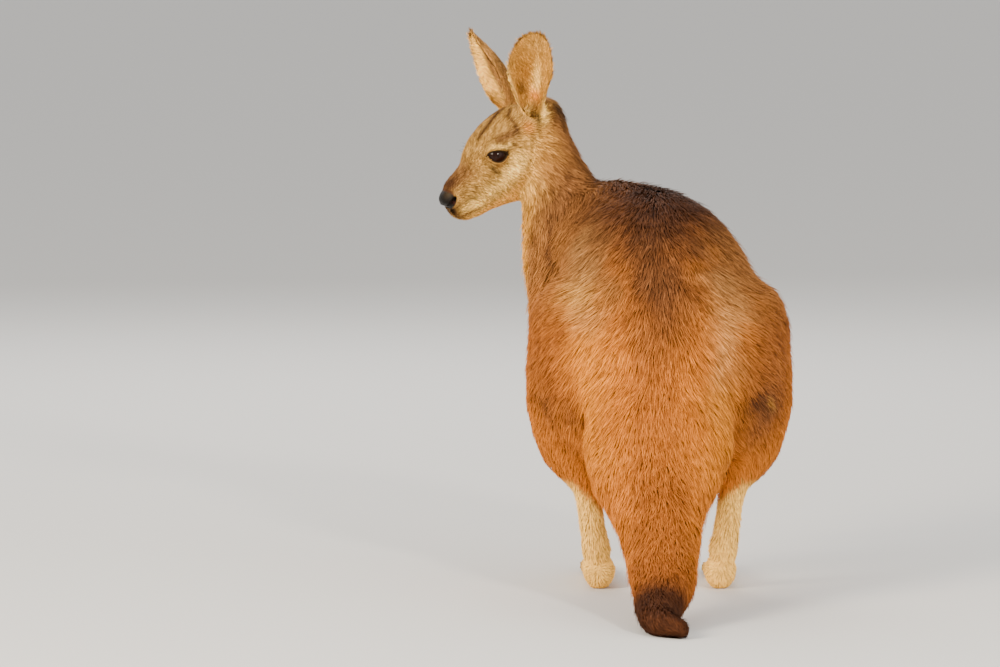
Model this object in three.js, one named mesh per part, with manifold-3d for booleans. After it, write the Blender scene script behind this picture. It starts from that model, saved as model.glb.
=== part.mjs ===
// A female common wallaroo, life size, propped on its hind feet and tail with its head turned over
// its left shoulder. Millimetres, +Z up. The animal's hips face -Y and its own left is +X.
// Every node is one closed body, and neighbours meet face to face across a gap of GAP.
import * as THREE from "three";
import { mergeVertices } from "three/addons/utils/BufferGeometryUtils.js";
import Module from "manifold-3d";

const wasm = await Module();
wasm.setup();

// ---------------------------------------------------------------- driving dimensions
const GAP = 0.3; // clearance between neighbouring nodes
const SOLE_CUT = 2; // how far the soles and the tail are pressed flat
const EYEBALL_RADIUS = 15;
const LID_THICKNESS = 2.2;
const EYE_OPENING = { long: 27, high: 14.5 };
const EAR_THICKNESS = 4.2;
const MOUTH_LINE = { deep: 3, high: 1.8 };

const DEG = Math.PI / 180;
const UP = new THREE.Vector3(0, 0, 1);
const REAR = new THREE.Vector3(0, 1, 0);

// ---------------------------------------------------------------- lofted forms

// One cross-section: centre, half-width across, half-depth on the back side and on the belly side.
const section = (x, y, z, wide, back, belly = back) => ({
  at: new THREE.Vector3(x, y, z),
  size: new THREE.Vector3(wide, back, belly),
});

const signedPower = (value, power) => Math.sign(value) * Math.abs(value) ** power;

const curveThrough = (points) => new THREE.CatmullRomCurve3(points, false, "catmullrom", 0.5);

// A closed body through the sections, made by carrying a sphere's rings along their centre line.
// back is the direction that the back side of each section faces; domes are the lengths of the
// round ends; square is the superellipse power on the back and belly sides; grow swells it all.
function loft(sections, options) {
  const { back, sides = 20, steps = 3, domes = [12, 12], square = [2, 2], grow = 0 } = options;
  const domeRings = Math.max(1, Math.round(sides / 10));
  const centres = curveThrough(sections.map((s) => s.at));
  const sizes = curveThrough(sections.map((s) => s.size));
  const rings = [];
  for (let i = 0; i <= domeRings; i++) {
    const turn = (i / (domeRings + 1)) * 90 * DEG;
    rings.push({ t: 0, along: -(domes[0] + grow) * Math.cos(turn), scale: Math.sin(turn) });
  }
  const spans = (sections.length - 1) * steps;
  for (let i = 0; i <= spans; i++) rings.push({ t: i / spans, along: 0, scale: 1 });
  for (let i = domeRings; i >= 0; i--) {
    const turn = (i / (domeRings + 1)) * 90 * DEG;
    rings.push({ t: 1, along: (domes[1] + grow) * Math.cos(turn), scale: Math.sin(turn) });
  }
  const geometry = new THREE.SphereGeometry(1, sides, rings.length - 1);
  const position = geometry.attributes.position;
  rings.forEach(({ t, along, scale }, row) => {
    const centre = centres.getPoint(t);
    const size = sizes.getPoint(t);
    const axis = centres.getTangent(t);
    const backward = back.clone().addScaledVector(axis, -back.dot(axis)).normalize();
    const across = axis.clone().cross(backward);
    for (let column = 0; column <= sides; column++) {
      const turn = ((column % sides) / sides) * 360 * DEG;
      const power = 2 / (Math.sin(turn) > 0 ? square[0] : square[1]);
      const depth = (Math.sin(turn) > 0 ? size.y : size.z) + grow;
      const point = centre
        .clone()
        .addScaledVector(axis, along)
        .addScaledVector(across, signedPower(Math.cos(turn), power) * (size.x + grow) * scale)
        .addScaledVector(backward, signedPower(Math.sin(turn), power) * depth * scale);
      position.setXYZ(row * (sides + 1) + column, point.x, point.y, point.z);
    }
  });
  return geometry;
}

// ---------------------------------------------------------------- solids

function solid(geometry) {
  const bare = geometry.clone();
  bare.deleteAttribute("normal");
  bare.deleteAttribute("uv");
  const welded = mergeVertices(bare, 1e-4);
  return new wasm.Manifold(
    new wasm.Mesh({
      numProp: 3,
      vertProperties: welded.attributes.position.array,
      triVerts: new Uint32Array(welded.index.array),
    }),
  );
}

const largest = (body) =>
  body.decompose().reduce((best, piece) => (piece.volume() > best.volume() ? piece : best));

const join = (...bodies) => bodies.reduce((whole, body) => whole.add(body));

const cut = (body, ...tools) => tools.reduce((rest, tool) => rest.subtract(tool), body);

function geometryOf(body) {
  const mesh = body.getMesh();
  return new THREE.BufferGeometry()
    .setAttribute("position", new THREE.BufferAttribute(mesh.vertProperties, 3))
    .setIndex(new THREE.BufferAttribute(mesh.triVerts, 1));
}

const GROUND = solid(new THREE.BoxGeometry(2000, 2000, 200).translate(0, 0, -100));

const same = (sections) => sections;
const mirrored = (sections) =>
  sections.map(({ at, size }) => ({ at: new THREE.Vector3(-at.x, at.y, at.z), size }));
const SIDES = { left: same, right: mirrored };

// ---------------------------------------------------------------- trunk, neck and tail

const TRUNK_BACK = new THREE.Vector3(0, 0.5, 1);
const TRUNK = [
  section(0, 70, 212, 80, 62, 50),
  section(0, 34, 252, 108, 86, 84),
  section(0, -30, 306, 130, 110, 110),
  section(3, -92, 356, 131, 113, 118),
  section(19, -146, 397, 119, 106, 114),
  section(48, -186, 421, 99, 88, 102),
  section(80, -212, 436, 76, 78, 86),
];
const CHEST = [
  section(72, -188, 318, 66, 60, 68),
  section(90, -206, 370, 78, 60, 78),
  section(104, -216, 420, 74, 56, 74),
  section(116, -226, 462, 58, 48, 58),
];
const SHOULDERS = [
  [
    section(92, -192, 452, 46, 38, 36),
    section(112, -192, 418, 49, 47, 44),
    section(126, -196, 384, 42, 42, 38),
  ],
  [
    section(18, -206, 452, 40, 34, 40),
    section(6, -226, 416, 46, 46, 46),
    section(8, -242, 380, 38, 36, 36),
  ],
];
const trunk = (grow = 0) =>
  join(
    solid(
      loft(TRUNK, { back: TRUNK_BACK, sides: 20, steps: 2, domes: [30, 36], square: [2.1, 2.1], grow }),
    ),
    solid(loft(CHEST, { back: REAR, sides: 12, steps: 1, domes: [30, 20], grow })),
    ...SHOULDERS.map((mass) =>
      solid(loft(mass, { back: REAR, sides: 12, steps: 1, domes: [20, 22], grow })),
    ),
  );

const NAPE = new THREE.Vector3(-0.9, 0, 0.4);
const NECK = [
  section(94, -208, 425, 60, 56, 80),
  section(111, -222, 464, 56, 50, 68),
  section(124, -233, 506, 49, 40, 52),
  section(136, -246, 546, 44, 28, 42),
  section(145, -255, 584, 41, 25, 34),
];
const neck = (grow = 0) =>
  solid(loft(NECK, { back: NAPE, sides: 16, steps: 2, domes: [30, 30], grow }));

const TAIL = [
  section(1, 16, 262, 84, 78, 60),
  section(2, 72, 226, 92, 70, 58),
  section(6, 125, 189, 96, 56, 52),
  section(10, 178, 150, 80, 44, 45),
  section(8, 208, 128, 64, 39, 40),
  section(6, 238, 107, 54, 36, 37),
  section(4, 295, 70, 45, 31, 32),
  section(4, 350, 43, 39, 27, 29),
  section(11, 395, 26, 29, 23, 28),
  section(13, 432, 19, 23, 19, 21),
  section(3, 460, 15, 18, 16, 17),
  section(-14, 476, 12, 12, 12, 14),
];
const tail = (grow = 0) =>
  solid(loft(TAIL, { back: TRUNK_BACK, sides: 14, steps: 1, domes: [30, 12], grow }));

// Where the tail is divided: a point on it and the way that it runs there.
const TAIL_JOINTS = [
  { at: new THREE.Vector3(5, 168, 158), along: new THREE.Vector3(0, 0.81, -0.58) },
  { at: new THREE.Vector3(4, 318, 57), along: new THREE.Vector3(0, 0.9, -0.44) },
];
const TAIL_PARTS = [
  { name: "base", to: TAIL_JOINTS[0] },
  { name: "middle", from: TAIL_JOINTS[0], to: TAIL_JOINTS[1] },
  { name: "end", from: TAIL_JOINTS[1] },
];
const halfSpace = ({ at, along }, side) =>
  solid(
    new THREE.BoxGeometry(600, 600, 600)
      .translate(0, 0, side * (300 - GAP / 2))
      .applyQuaternion(
        new THREE.Quaternion().setFromUnitVectors(UP, along.clone().normalize()),
      )
      .translate(at.x, at.y, at.z),
  );
const before = (joint) => halfSpace(joint, -1);
const beyond = (joint) => halfSpace(joint, 1);

// ---------------------------------------------------------------- hind legs

const THIGH = [
  section(58, 34, 244, 58, 84, 84),
  section(92, -14, 272, 66, 100, 88),
  section(119, -66, 302, 49, 88, 76),
  section(131, -114, 320, 36, 66, 52),
];
const SHANK = [
  section(130, -108, 318, 30, 44, 36),
  section(129, -78, 272, 42, 58, 40),
  section(126, -56, 236, 45, 58, 38),
  section(117, -44, 204, 46, 54, 34),
  section(109, -37, 176, 43, 46, 30),
  section(101, -32, 152, 32, 36, 26),
  section(93, -28, 132, 19, 28, 20),
  section(89, -24, 108, 16.5, 23, 17),
  section(86, -20, 82, 16.5, 20, 16),
  section(83, -18, 62, 17.5, 19, 17),
  section(80, -17, 46, 20, 19, 19),
];
const METATARSUS = [
  section(77, -18, 24, 21, 20, 24 + SOLE_CUT),
  section(78, -55, 19, 17, 19, 19 + SOLE_CUT),
  section(80, -110, 16, 15.5, 15, 16 + SOLE_CUT),
  section(80, -158, 14, 17, 12, 14 + SOLE_CUT),
];
// Toes from the outside in: [x, y, z, half-width] down their length, and their claw's length.
const TOES = [
  { name: "fifth", claw: 15, path: [[89, -140, 12, 8], [91, -176, 11, 7.5], [93, -198, 9, 6.5]] },
  { name: "fourth", claw: 25, path: [[80, -140, 14, 12], [81, -188, 13, 10.5], [82, -222, 11, 9]] },
  { name: "third", claw: 9, path: [[71, -140, 12, 6], [71, -178, 10, 5], [71, -194, 9, 4.4]] },
  { name: "second", claw: 9, path: [[65, -140, 12, 6], [63.5, -177, 10, 5], [62.5, -192, 9, 4.4]] },
];
const toeSections = (path) => path.map(([x, y, z, r]) => section(x, y, z, r, r, z + SOLE_CUT));
const clawSections = ([x, y, z, r], length) => [
  section(x, y - r * 0.4, z + 1, r * 0.5, r * 0.5),
  section(x + length * 0.04, y - r * 0.6 - length * 0.5, z, r * 0.36, r * 0.4),
  section(x + length * 0.08, y - r * 0.6 - length, z * 0.45, r * 0.1, r * 0.1),
];

const thigh = (side, grow = 0) =>
  solid(
    loft(side(THIGH), { back: UP, sides: 16, steps: 2, domes: [20, 24], square: [2.9, 2.1], grow }),
  );
const shank = (side, grow = 0) =>
  solid(loft(side(SHANK), { back: REAR, sides: 12, steps: 1, domes: [20, 10], grow }));
const foot = (side, grow = 0) =>
  join(
    solid(loft(side(METATARSUS), { back: UP, sides: 12, steps: 1, domes: [18, 12], grow })),
    ...TOES.map(({ path }) =>
      solid(
        loft(side(toeSections(path)), { back: UP, sides: 8, steps: 1, domes: [4, path[2][3]], grow }),
      ),
    ),
  );
const toeClaw = (side, { path, claw }, grow = 0) =>
  solid(
    loft(side(clawSections(path[2], claw)), { back: UP, sides: 6, steps: 1, domes: [2, 0.5], grow }),
  );

// ---------------------------------------------------------------- forelimbs

const ARMS = {
  left: {
    upper: [
      section(118, -198, 394, 31, 31, 31),
      section(136, -200, 368, 28, 31, 30),
      section(147, -203, 330, 20, 23, 21),
    ],
    fore: [
      section(148, -204, 328, 18, 20, 19),
      section(148, -232, 302, 17, 18, 17),
      section(146, -262, 272, 12, 12.5, 12),
      section(144, -274, 258, 11.5, 11, 11),
    ],
    hand: { at: [143.5, -278, 252], along: [-0.12, -0.25, -0.96], palm: [-0.5, 0.85, -0.16] },
  },
  right: {
    upper: [
      section(30, -236, 404, 36, 38, 36),
      section(24, -256, 368, 29, 32, 30),
      section(22, -270, 330, 20, 23, 21),
    ],
    fore: [
      section(22, -271, 328, 18, 20, 19),
      section(34, -298, 302, 17, 18, 17),
      section(48, -322, 272, 12, 12.5, 12),
      section(53, -331, 258, 11.5, 11, 11),
    ],
    hand: { at: [54.5, -334, 252], along: [0.16, -0.28, -0.95], palm: [0.5, 0.85, -0.16] },
  },
};
const upperArm = (arm, grow = 0) =>
  solid(loft(arm.upper, { back: REAR, sides: 12, steps: 1, domes: [22, 14], grow }));
const forearm = (arm, grow = 0) =>
  solid(loft(arm.fore, { back: REAR, sides: 10, steps: 1, domes: [14, 8], grow }));

// Fingers spread from the palm in the hand's own frame: x along the hand, z out of its back.
const FINGER_LENGTHS = { first: 19, second: 25, third: 27, fourth: 25, fifth: 19 };
const FINGER_SPREAD = 14 * DEG; // between neighbours
const FINGERS = Object.entries(FINGER_LENGTHS).map(([name, length], i) => {
  const place = i - 2;
  const root = new THREE.Vector3(24 - Math.abs(place) * 2.5, place * 6, 0);
  const turn = place * FINGER_SPREAD;
  const along = new THREE.Vector3(Math.cos(turn), Math.sin(turn), 0);
  const reach = (distance, drop) =>
    root.clone().addScaledVector(along, distance).addScaledVector(UP, -drop);
  return { name, reach, length };
});
const sectionAt = (p, wide, back) => section(p.x, p.y, p.z, wide, back);
function handFrame({ at, along, palm }) {
  const x = new THREE.Vector3(...along).normalize();
  const z = new THREE.Vector3(...palm).negate();
  z.addScaledVector(x, -z.dot(x)).normalize();
  const y = z.clone().cross(x);
  return new THREE.Matrix4().makeBasis(x, y, z).setPosition(...at);
}
const hand = (arm, grow = 0) => {
  const palm = loft(
    [section(-4, 0, 0, 10.5, 9), section(12, 0, 0, 13.5, 8, 8.5), section(25, 0, -1, 15, 6.5, 7)],
    { back: UP, sides: 10, steps: 1, domes: [6, 6], grow },
  );
  const fingers = FINGERS.map(({ reach, length }) =>
    loft(
      [
        sectionAt(reach(0, 0.5), 4, 4.4),
        sectionAt(reach(length * 0.55, 1.5), 3.6, 4),
        sectionAt(reach(length, 5.5), 3.2, 3.5),
      ],
      { back: UP, sides: 6, steps: 1, domes: [3, 3], grow },
    ),
  );
  return join(...[palm, ...fingers].map((g) => solid(g.applyMatrix4(handFrame(arm.hand)))));
};
const fingerClaw = (arm, { reach, length }, grow = 0) =>
  solid(
    loft(
      [
        sectionAt(reach(length + 0.5, 5), 1.9, 2.3),
        sectionAt(reach(length + 7, 8.5), 1.4, 1.8),
        sectionAt(reach(length + 12.5, 15), 0.35, 0.4),
      ],
      { back: UP, sides: 6, steps: 1, domes: [2, 0.4], grow },
    ).applyMatrix4(handFrame(arm.hand)),
  );

// ---------------------------------------------------------------- head

// The head's own frame: x forward to the nose, y to its left, z up, origin between the ears.
const HEAD_ORIGIN = new THREE.Vector3(161, -250, 577);
const HEAD_YAW = 22 * DEG;
const HEAD_PITCH = 35.5 * DEG;
const headFrame = (() => {
  const forward = new THREE.Vector3(
    Math.cos(HEAD_YAW) * Math.cos(HEAD_PITCH),
    Math.sin(HEAD_YAW) * Math.cos(HEAD_PITCH),
    -Math.sin(HEAD_PITCH),
  );
  const left = new THREE.Vector3(-Math.sin(HEAD_YAW), Math.cos(HEAD_YAW), 0);
  return new THREE.Matrix4()
    .makeBasis(forward, left, forward.clone().cross(left))
    .setPosition(HEAD_ORIGIN);
})();
const onHead = (geometry) => solid(geometry.applyMatrix4(headFrame));

// Distance forward, height of the top and of the jaw line, height of the widest point, half-width.
const profile = (forward, top, jaw, middle, wide) =>
  section(forward, 0, middle, wide, top - middle, middle - jaw);
const HEAD = [
  profile(-18, 24, -40, -3, 31),
  profile(-1, 37, -62, -6, 39.5),
  profile(17, 42.5, -73, -8, 43),
  profile(36, 44, -78, -8, 44.5),
  profile(54, 43, -78.5, -8, 45),
  profile(72, 38, -76, -8, 43.5),
  profile(86, 28.5, -72, -12, 39),
  profile(100, 19.5, -62, -16, 33),
  profile(114, 16, -54, -18, 27.5),
  profile(130, 13.5, -51.5, -18, 24),
  profile(144, 8.5, -46, -18, 21.5),
  profile(154, 2, -37, -17.5, 18.5),
];
const muzzle = (grow = 0) =>
  onHead(loft(HEAD, { back: UP, sides: 22, steps: 1, domes: [14, 4], square: [2.15, 1.9], grow }));
const BROW = { at: new THREE.Vector3(70, 26.5, 7), radii: [26, 18.5, 20] };
const skull = (grow = 0) =>
  join(
    muzzle(grow),
    ...[1, -1].map((side) => {
      const [x, y, z] = BROW.radii.map((radius) => radius + grow);
      return onHead(
        new THREE.SphereGeometry(1, 12, 7)
          .scale(x, y, z)
          .translate(BROW.at.x, BROW.at.y * side, BROW.at.z),
      );
    }),
  );

const NOSE = [
  section(135, 0, 1, 12, 6.5, 9),
  section(145, 0, -4, 17.5, 10.5, 15),
  section(154, 0, -8, 17, 11, 16),
];
const nosePad = (grow = 0) =>
  onHead(loft(NOSE, { back: UP, sides: 14, steps: 1, domes: [3, 6.5], grow }));
const nostril = (side) =>
  onHead(
    loft(
      [
        section(161, 7 * side, -15, 1.4, 1.6),
        section(157, 12 * side, -14, 2.4, 2.4),
        section(151, 16 * side, -12, 3.2, 3),
        section(146, 18.5 * side, -8, 1.6, 1.6),
      ],
      { back: UP, sides: 8, steps: 1, domes: [3, 2] },
    ),
  );

// The line between the lips, in the head's side view, from ahead of the mouth to its corner.
const LIPS = [[172, -19], [161, -21], [154, -27], [146, -33], [136, -38], [127, -40]];
const CORNER_NARROWING = 0.3;
const mouthLine = () => {
  const edge = LIPS.map(([x, z], i) => {
    const high = (MOUTH_LINE.high / 2) * (i === LIPS.length - 1 ? CORNER_NARROWING : 1);
    return { above: new THREE.Vector2(x, z + high), below: new THREE.Vector2(x, z - high) };
  });
  const outline = [...edge.map((e) => e.above), ...edge.map((e) => e.below).reverse()];
  const across = { depth: 80, bevelEnabled: false };
  const sheet = new THREE.ExtrudeGeometry(new THREE.Shape(outline), across)
    .translate(0, 0, -across.depth / 2)
    .rotateX(90 * DEG);
  return cut(onHead(sheet), muzzle(-MOUTH_LINE.deep));
};

// The eye looks out along its own axis, and the lids open along a line from its rear corner.
const EYE_CENTRE = new THREE.Vector3(73.5, 31.5, 8);
const EYE_AXIS = new THREE.Vector3(0.22, 0.96, 0.1).normalize();
const EYE_SLANT = 19 * DEG;
const sided = (v, side) => new THREE.Vector3(v.x, v.y * side, v.z);
const eyeball = (side, radius) => {
  const at = sided(EYE_CENTRE, side);
  return onHead(new THREE.SphereGeometry(radius, 16, 8).translate(at.x, at.y, at.z));
};
function lidOpening(side) {
  const shape = new THREE.Shape();
  const { long, high } = EYE_OPENING;
  shape.moveTo(-long * 0.5, -0.5);
  shape.bezierCurveTo(-long * 0.28, high * 0.72, long * 0.18, high * 0.68, long * 0.5, -1);
  shape.bezierCurveTo(long * 0.25, -high * 0.62, -long * 0.25, -high * 0.62, -long * 0.5, -0.5);
  const prism = new THREE.ExtrudeGeometry(shape, {
    depth: 2 * EYEBALL_RADIUS,
    bevelEnabled: false,
    curveSegments: 8,
  });
  const out = sided(EYE_AXIS, side);
  const along = new THREE.Vector3(Math.cos(EYE_SLANT), 0, Math.sin(EYE_SLANT));
  along.addScaledVector(out, -along.dot(out)).normalize();
  if (side > 0) along.negate();
  const above = out.clone().cross(along);
  const frame = new THREE.Matrix4()
    .makeBasis(along, above, out)
    .setPosition(sided(EYE_CENTRE, side));
  return onHead(prism.applyMatrix4(frame));
}

// ---------------------------------------------------------------- ears

// An ear is a leaf rolled into a cup: its back line, the way that it opens, the half-width of the
// leaf measured round the roll, and half the angle of the roll.
const EAR_LEAF = [
  [0.0, 12, 168],
  [0.1, 26, 170],
  [0.2, 33, 160],
  [0.3, 37, 127],
  [0.4, 39.5, 106],
  [0.51, 41.5, 92],
  [0.61, 41, 78],
  [0.71, 37, 70],
  [0.81, 31.5, 62],
  [0.895, 25, 54],
  [0.95, 18.5, 45],
  [0.985, 10.5, 32],
  [1, 2, 20],
];
function earSheet({ line, opens }) {
  const SIDES_ROUND = 18;
  const geometry = new THREE.SphereGeometry(1, SIDES_ROUND, EAR_LEAF.length + 1);
  const position = geometry.attributes.position;
  const back = curveThrough(line.map((p) => new THREE.Vector3(...p)));
  const rows = [[-0.03, 4, 168], ...EAR_LEAF, [1.005, 0, 20]];
  rows.forEach(([along, halfWidth, rollDegrees], row) => {
    const t = THREE.MathUtils.clamp(along, 0, 1);
    const axis = back.getTangent(t);
    const origin = back.getPoint(t).addScaledVector(axis, (along - t) * 100);
    const out = new THREE.Vector3(...opens[0]).lerp(new THREE.Vector3(...opens[1]), t);
    out.addScaledVector(axis, -out.dot(axis)).normalize();
    const across = axis.clone().cross(out);
    const pole = row === 0 || row === rows.length - 1;
    const roll = rollDegrees * DEG;
    const radius = halfWidth / roll;
    const half = (pole ? 0 : EAR_THICKNESS / 2) * Math.min(1, (1.08 - t) * 3);
    for (let column = 0; column <= SIDES_ROUND; column++) {
      const turn = ((column % SIDES_ROUND) / SIDES_ROUND) * 360 * DEG;
      const s = pole ? 0 : Math.cos(turn);
      const angle = s * roll;
      const offset = -half * signedPower(Math.sin(turn), 0.6);
      const outward = across
        .clone()
        .multiplyScalar(Math.sin(angle))
        .addScaledVector(out, -Math.cos(angle));
      const point = origin
        .clone()
        .addScaledVector(out, radius)
        .addScaledVector(outward, radius + offset);
      position.setXYZ(row * (SIDES_ROUND + 1) + column, point.x, point.y, point.z);
    }
  });
  return geometry;
}
// The hollow at the foot of an ear, which runs on down into the skull.
function earCanal({ line, opens }) {
  const back = curveThrough(line.map((p) => new THREE.Vector3(...p)));
  const sections = [0.1, 0.2, 0.3, 0.42].map((t) => {
    const axis = back.getTangent(t);
    const out = new THREE.Vector3(...opens[0]);
    out.addScaledVector(axis, -out.dot(axis)).normalize();
    const row = EAR_LEAF.findIndex(([along]) => along >= t);
    const [[a0, w0, r0], [a1, w1, r1]] = [EAR_LEAF[row - 1], EAR_LEAF[row]];
    const share = (t - a0) / (a1 - a0);
    const radius = THREE.MathUtils.lerp(w0 / (r0 * DEG), w1 / (r1 * DEG), share);
    const at = back.getPoint(t).addScaledVector(out, radius);
    const open = radius - EAR_THICKNESS / 2 + 0.4;
    return section(at.x, at.y, at.z, open, open);
  });
  return solid(loft(sections, { back: REAR, sides: 14, steps: 1, domes: [4, 4] }));
}
const EARS = {
  left: {
    line: [[153, -234, 570], [158, -233, 602], [160, -228, 640], [158, -214, 674], [153, -196, 699]],
    opens: [[0.25, 0.95, -0.2], [0.2, 0.95, -0.2]],
  },
  right: {
    line: [[172, -272, 576], [184, -280, 606], [193, -288, 636], [214, -292, 668], [241, -291, 698]],
    opens: [[0.6, 0.8, -0.3], [0.97, 0.18, -0.3]],
  },
};
const ear = (name) => solid(earSheet(EARS[name]));

// ---------------------------------------------------------------- the animal

const COLOURS = {
  head: 0xb08a5c,
  neck: 0xa8703c,
  torso: 0x9c6838,
  ear: 0xc09a68,
  eye: 0x2a1810,
  nose: 0x241f1d,
  tail: 0xa86c34,
  thigh: 0xb0743a,
  shank: 0xdcbc8c,
  foot: 0xe0c49a,
  upper_arm: 0x9c6c40,
  forearm: 0xa87c50,
  hand: 0x4a3626,
  claw: 0x1e1a18,
};
const animal = new THREE.Group();
function add(kind, suffix, body) {
  const gloss = kind === "eye" || kind === "claw" || kind === "nose";
  const material = new THREE.MeshStandardMaterial({
    color: COLOURS[kind],
    roughness: gloss ? 0.3 : 0.9,
    metalness: 0,
  });
  const mesh = new THREE.Mesh(geometryOf(largest(body)), material);
  mesh.name = suffix ? `${kind}_${suffix}` : kind;
  animal.add(mesh);
}

const lids = [1, -1].map((side) => eyeball(side, EYEBALL_RADIUS + LID_THICKNESS));
const canals = Object.values(EARS).map(earCanal);
add(
  "head",
  "",
  cut(
    join(skull(), ...lids),
    nosePad(GAP),
    mouthLine(),
    ...canals,
    lidOpening(1),
    lidOpening(-1),
    eyeball(1, EYEBALL_RADIUS + GAP),
    eyeball(-1, EYEBALL_RADIUS + GAP),
  ),
);
add("nose", "", cut(nosePad(), nostril(1), nostril(-1)));
add("eye", "left", eyeball(1, EYEBALL_RADIUS));
add("eye", "right", eyeball(-1, EYEBALL_RADIUS));
for (const name of ["left", "right"]) add("ear", name, cut(ear(name), skull(GAP), neck(GAP)));
add("neck", "", cut(neck(), skull(GAP), trunk(GAP), ...canals));

const thighCuts = Object.values(SIDES).map((side) => thigh(side, GAP));
const limbCuts = [
  ...thighCuts,
  ...Object.values(SIDES).map((side) => shank(side, GAP)),
  ...Object.values(ARMS).flatMap((arm) => [upperArm(arm, GAP), forearm(arm, GAP)]),
];
add("torso", "", cut(trunk(), skull(GAP), tail(GAP), ...limbCuts));
const wholeTail = cut(tail(), GROUND, ...thighCuts);
TAIL_PARTS.forEach(({ name, from, to }) =>
  add("tail", name, cut(wholeTail, ...(from ? [before(from)] : []), ...(to ? [beyond(to)] : []))),
);
for (const [name, side] of Object.entries(SIDES)) {
  add("thigh", name, cut(thigh(side), shank(side, GAP)));
  add("shank", name, cut(shank(side), foot(side, GAP)));
  add("foot", name, cut(foot(side), GROUND, ...TOES.map((toe) => toeClaw(side, toe, GAP))));
  for (const toe of TOES) add("claw", `${toe.name}_toe_${name}`, toeClaw(side, toe));
}
for (const [name, arm] of Object.entries(ARMS)) {
  const claws = FINGERS.map((finger) => fingerClaw(arm, finger, GAP));
  add("upper_arm", name, cut(upperArm(arm), forearm(arm, GAP), neck(GAP)));
  add("forearm", name, cut(forearm(arm), hand(arm, GAP)));
  add("hand", name, cut(hand(arm), ...claws));
  for (const finger of FINGERS) add("claw", `${finger.name}_finger_${name}`, fingerClaw(arm, finger));
}

// The part's origin is the middle of its floor area.
const box = new THREE.Box3().setFromObject(animal);
const shift = new THREE.Vector3(-(box.min.x + box.max.x) / 2, -(box.min.y + box.max.y) / 2, -box.min.z);
for (const mesh of animal.children) mesh.geometry.translate(shift.x, shift.y, shift.z);

export default animal;
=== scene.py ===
"""A female wallaroo, life size, propped on its hind feet and tail and looking back over its left
shoulder: the skin, the coat, the eyes and the claws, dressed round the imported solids.

Metres, +Z up. Most landmarks are told in millimetres in one of two frames: the body's, from the
floor point between the heels (+X the animal's left, +Y its rear), and the head's (ahead, left, up).
"""
import math
from typing import NamedTuple

import bmesh
import bpy
import numpy as np
from mathutils import Matrix, Vector
from mathutils.bvhtree import BVHTree


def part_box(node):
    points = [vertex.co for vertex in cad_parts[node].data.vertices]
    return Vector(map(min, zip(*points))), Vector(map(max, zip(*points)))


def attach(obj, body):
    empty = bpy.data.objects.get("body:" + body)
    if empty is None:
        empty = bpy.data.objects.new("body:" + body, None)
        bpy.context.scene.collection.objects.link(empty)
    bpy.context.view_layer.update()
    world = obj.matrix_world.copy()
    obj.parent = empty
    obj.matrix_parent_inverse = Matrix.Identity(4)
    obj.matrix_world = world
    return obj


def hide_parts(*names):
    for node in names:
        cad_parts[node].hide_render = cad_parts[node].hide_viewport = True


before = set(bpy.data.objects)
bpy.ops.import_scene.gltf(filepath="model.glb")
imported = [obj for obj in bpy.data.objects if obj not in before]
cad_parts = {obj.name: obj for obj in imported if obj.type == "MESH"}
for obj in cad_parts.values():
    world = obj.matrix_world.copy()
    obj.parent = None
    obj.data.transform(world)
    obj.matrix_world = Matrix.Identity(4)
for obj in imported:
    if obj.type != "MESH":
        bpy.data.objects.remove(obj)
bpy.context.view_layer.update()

MM = 0.001
SIDES = ("left", "right")
FINGERS = ("first", "second", "third", "fourth", "fifth")
TOES = ("second", "third", "fourth", "fifth")
CLAWS = [
    f"claw_{digit}_{kind}_{side}"
    for side in SIDES
    for kind, digits in (("finger", FINGERS), ("toe", TOES))
    for digit in digits
]
EYES = [f"eye_{side}" for side in SIDES]
FLESH = [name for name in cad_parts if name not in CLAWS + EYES]


# ---------------------------------------------------------------- landmarks


def unit(vectors):
    return vectors / np.maximum(np.linalg.norm(vectors, axis=-1, keepdims=True), 1e-9)


def body_origin():
    """The floor point midway between the backs of the heels."""
    left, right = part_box("foot_left"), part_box("foot_right")
    return np.array([(left[1].x + right[0].x) / 2, max(left[1].y, right[1].y), 0.0])


HEAD_TURN, HEAD_DIP = math.radians(22), math.radians(35.5)
EYE_CENTRE = np.array([73.5, 31.5, 8.0])  # of the left eye, in the head's frame
EYE_LOOK = unit(np.array([0.22, 0.96, 0.1]))
EYE_SLANT = math.radians(31)
EYEBALL = 15.0
CORNEA, CORNEA_FROM = 0.5, 0.6  # how far its clear front swells, and from which share of its depth


def head_axes():
    """Rows: the ways that the head faces, its left and its crown."""
    turn, dip = HEAD_TURN, HEAD_DIP
    ahead = np.array([math.cos(turn) * math.cos(dip), math.sin(turn) * math.cos(dip), -math.sin(dip)])
    left = np.array([-math.sin(turn), math.cos(turn), 0.0])
    return np.array([ahead, left, np.cross(ahead, left)])


def head_origin():
    """The head frame's origin, set back from the midpoint between the eyes."""
    corners = [np.array(corner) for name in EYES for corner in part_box(name)]
    return sum(corners) / 4 - (EYE_CENTRE * (1, 0, 1) * MM) @ HEAD


BODY_AT = body_origin()
HEAD = head_axes()
HEAD_AT = head_origin()


def in_body(points):
    return (points - BODY_AT) / MM


def in_head(points):
    return (points - HEAD_AT) @ HEAD.T / MM


def from_head(places):
    return HEAD_AT + np.asarray(places, float) * MM @ HEAD


def ramp(low, high, values):
    """0 below low and 1 above high, smooth between."""
    t = np.clip((values - low) / (high - low), 0, 1)
    return t * t * (3 - 2 * t)


def hump(values, centre, width):
    """1 at the centre, fading to nothing a little past the width."""
    return np.exp(-(((values - centre) / width) ** 2))


def spot(places, centre, radii):
    """1 at the centre, fading to nothing a little past the radii."""
    return np.exp(-(((places - np.asarray(centre, float)) / np.asarray(radii, float)) ** 2).sum(-1))


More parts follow.
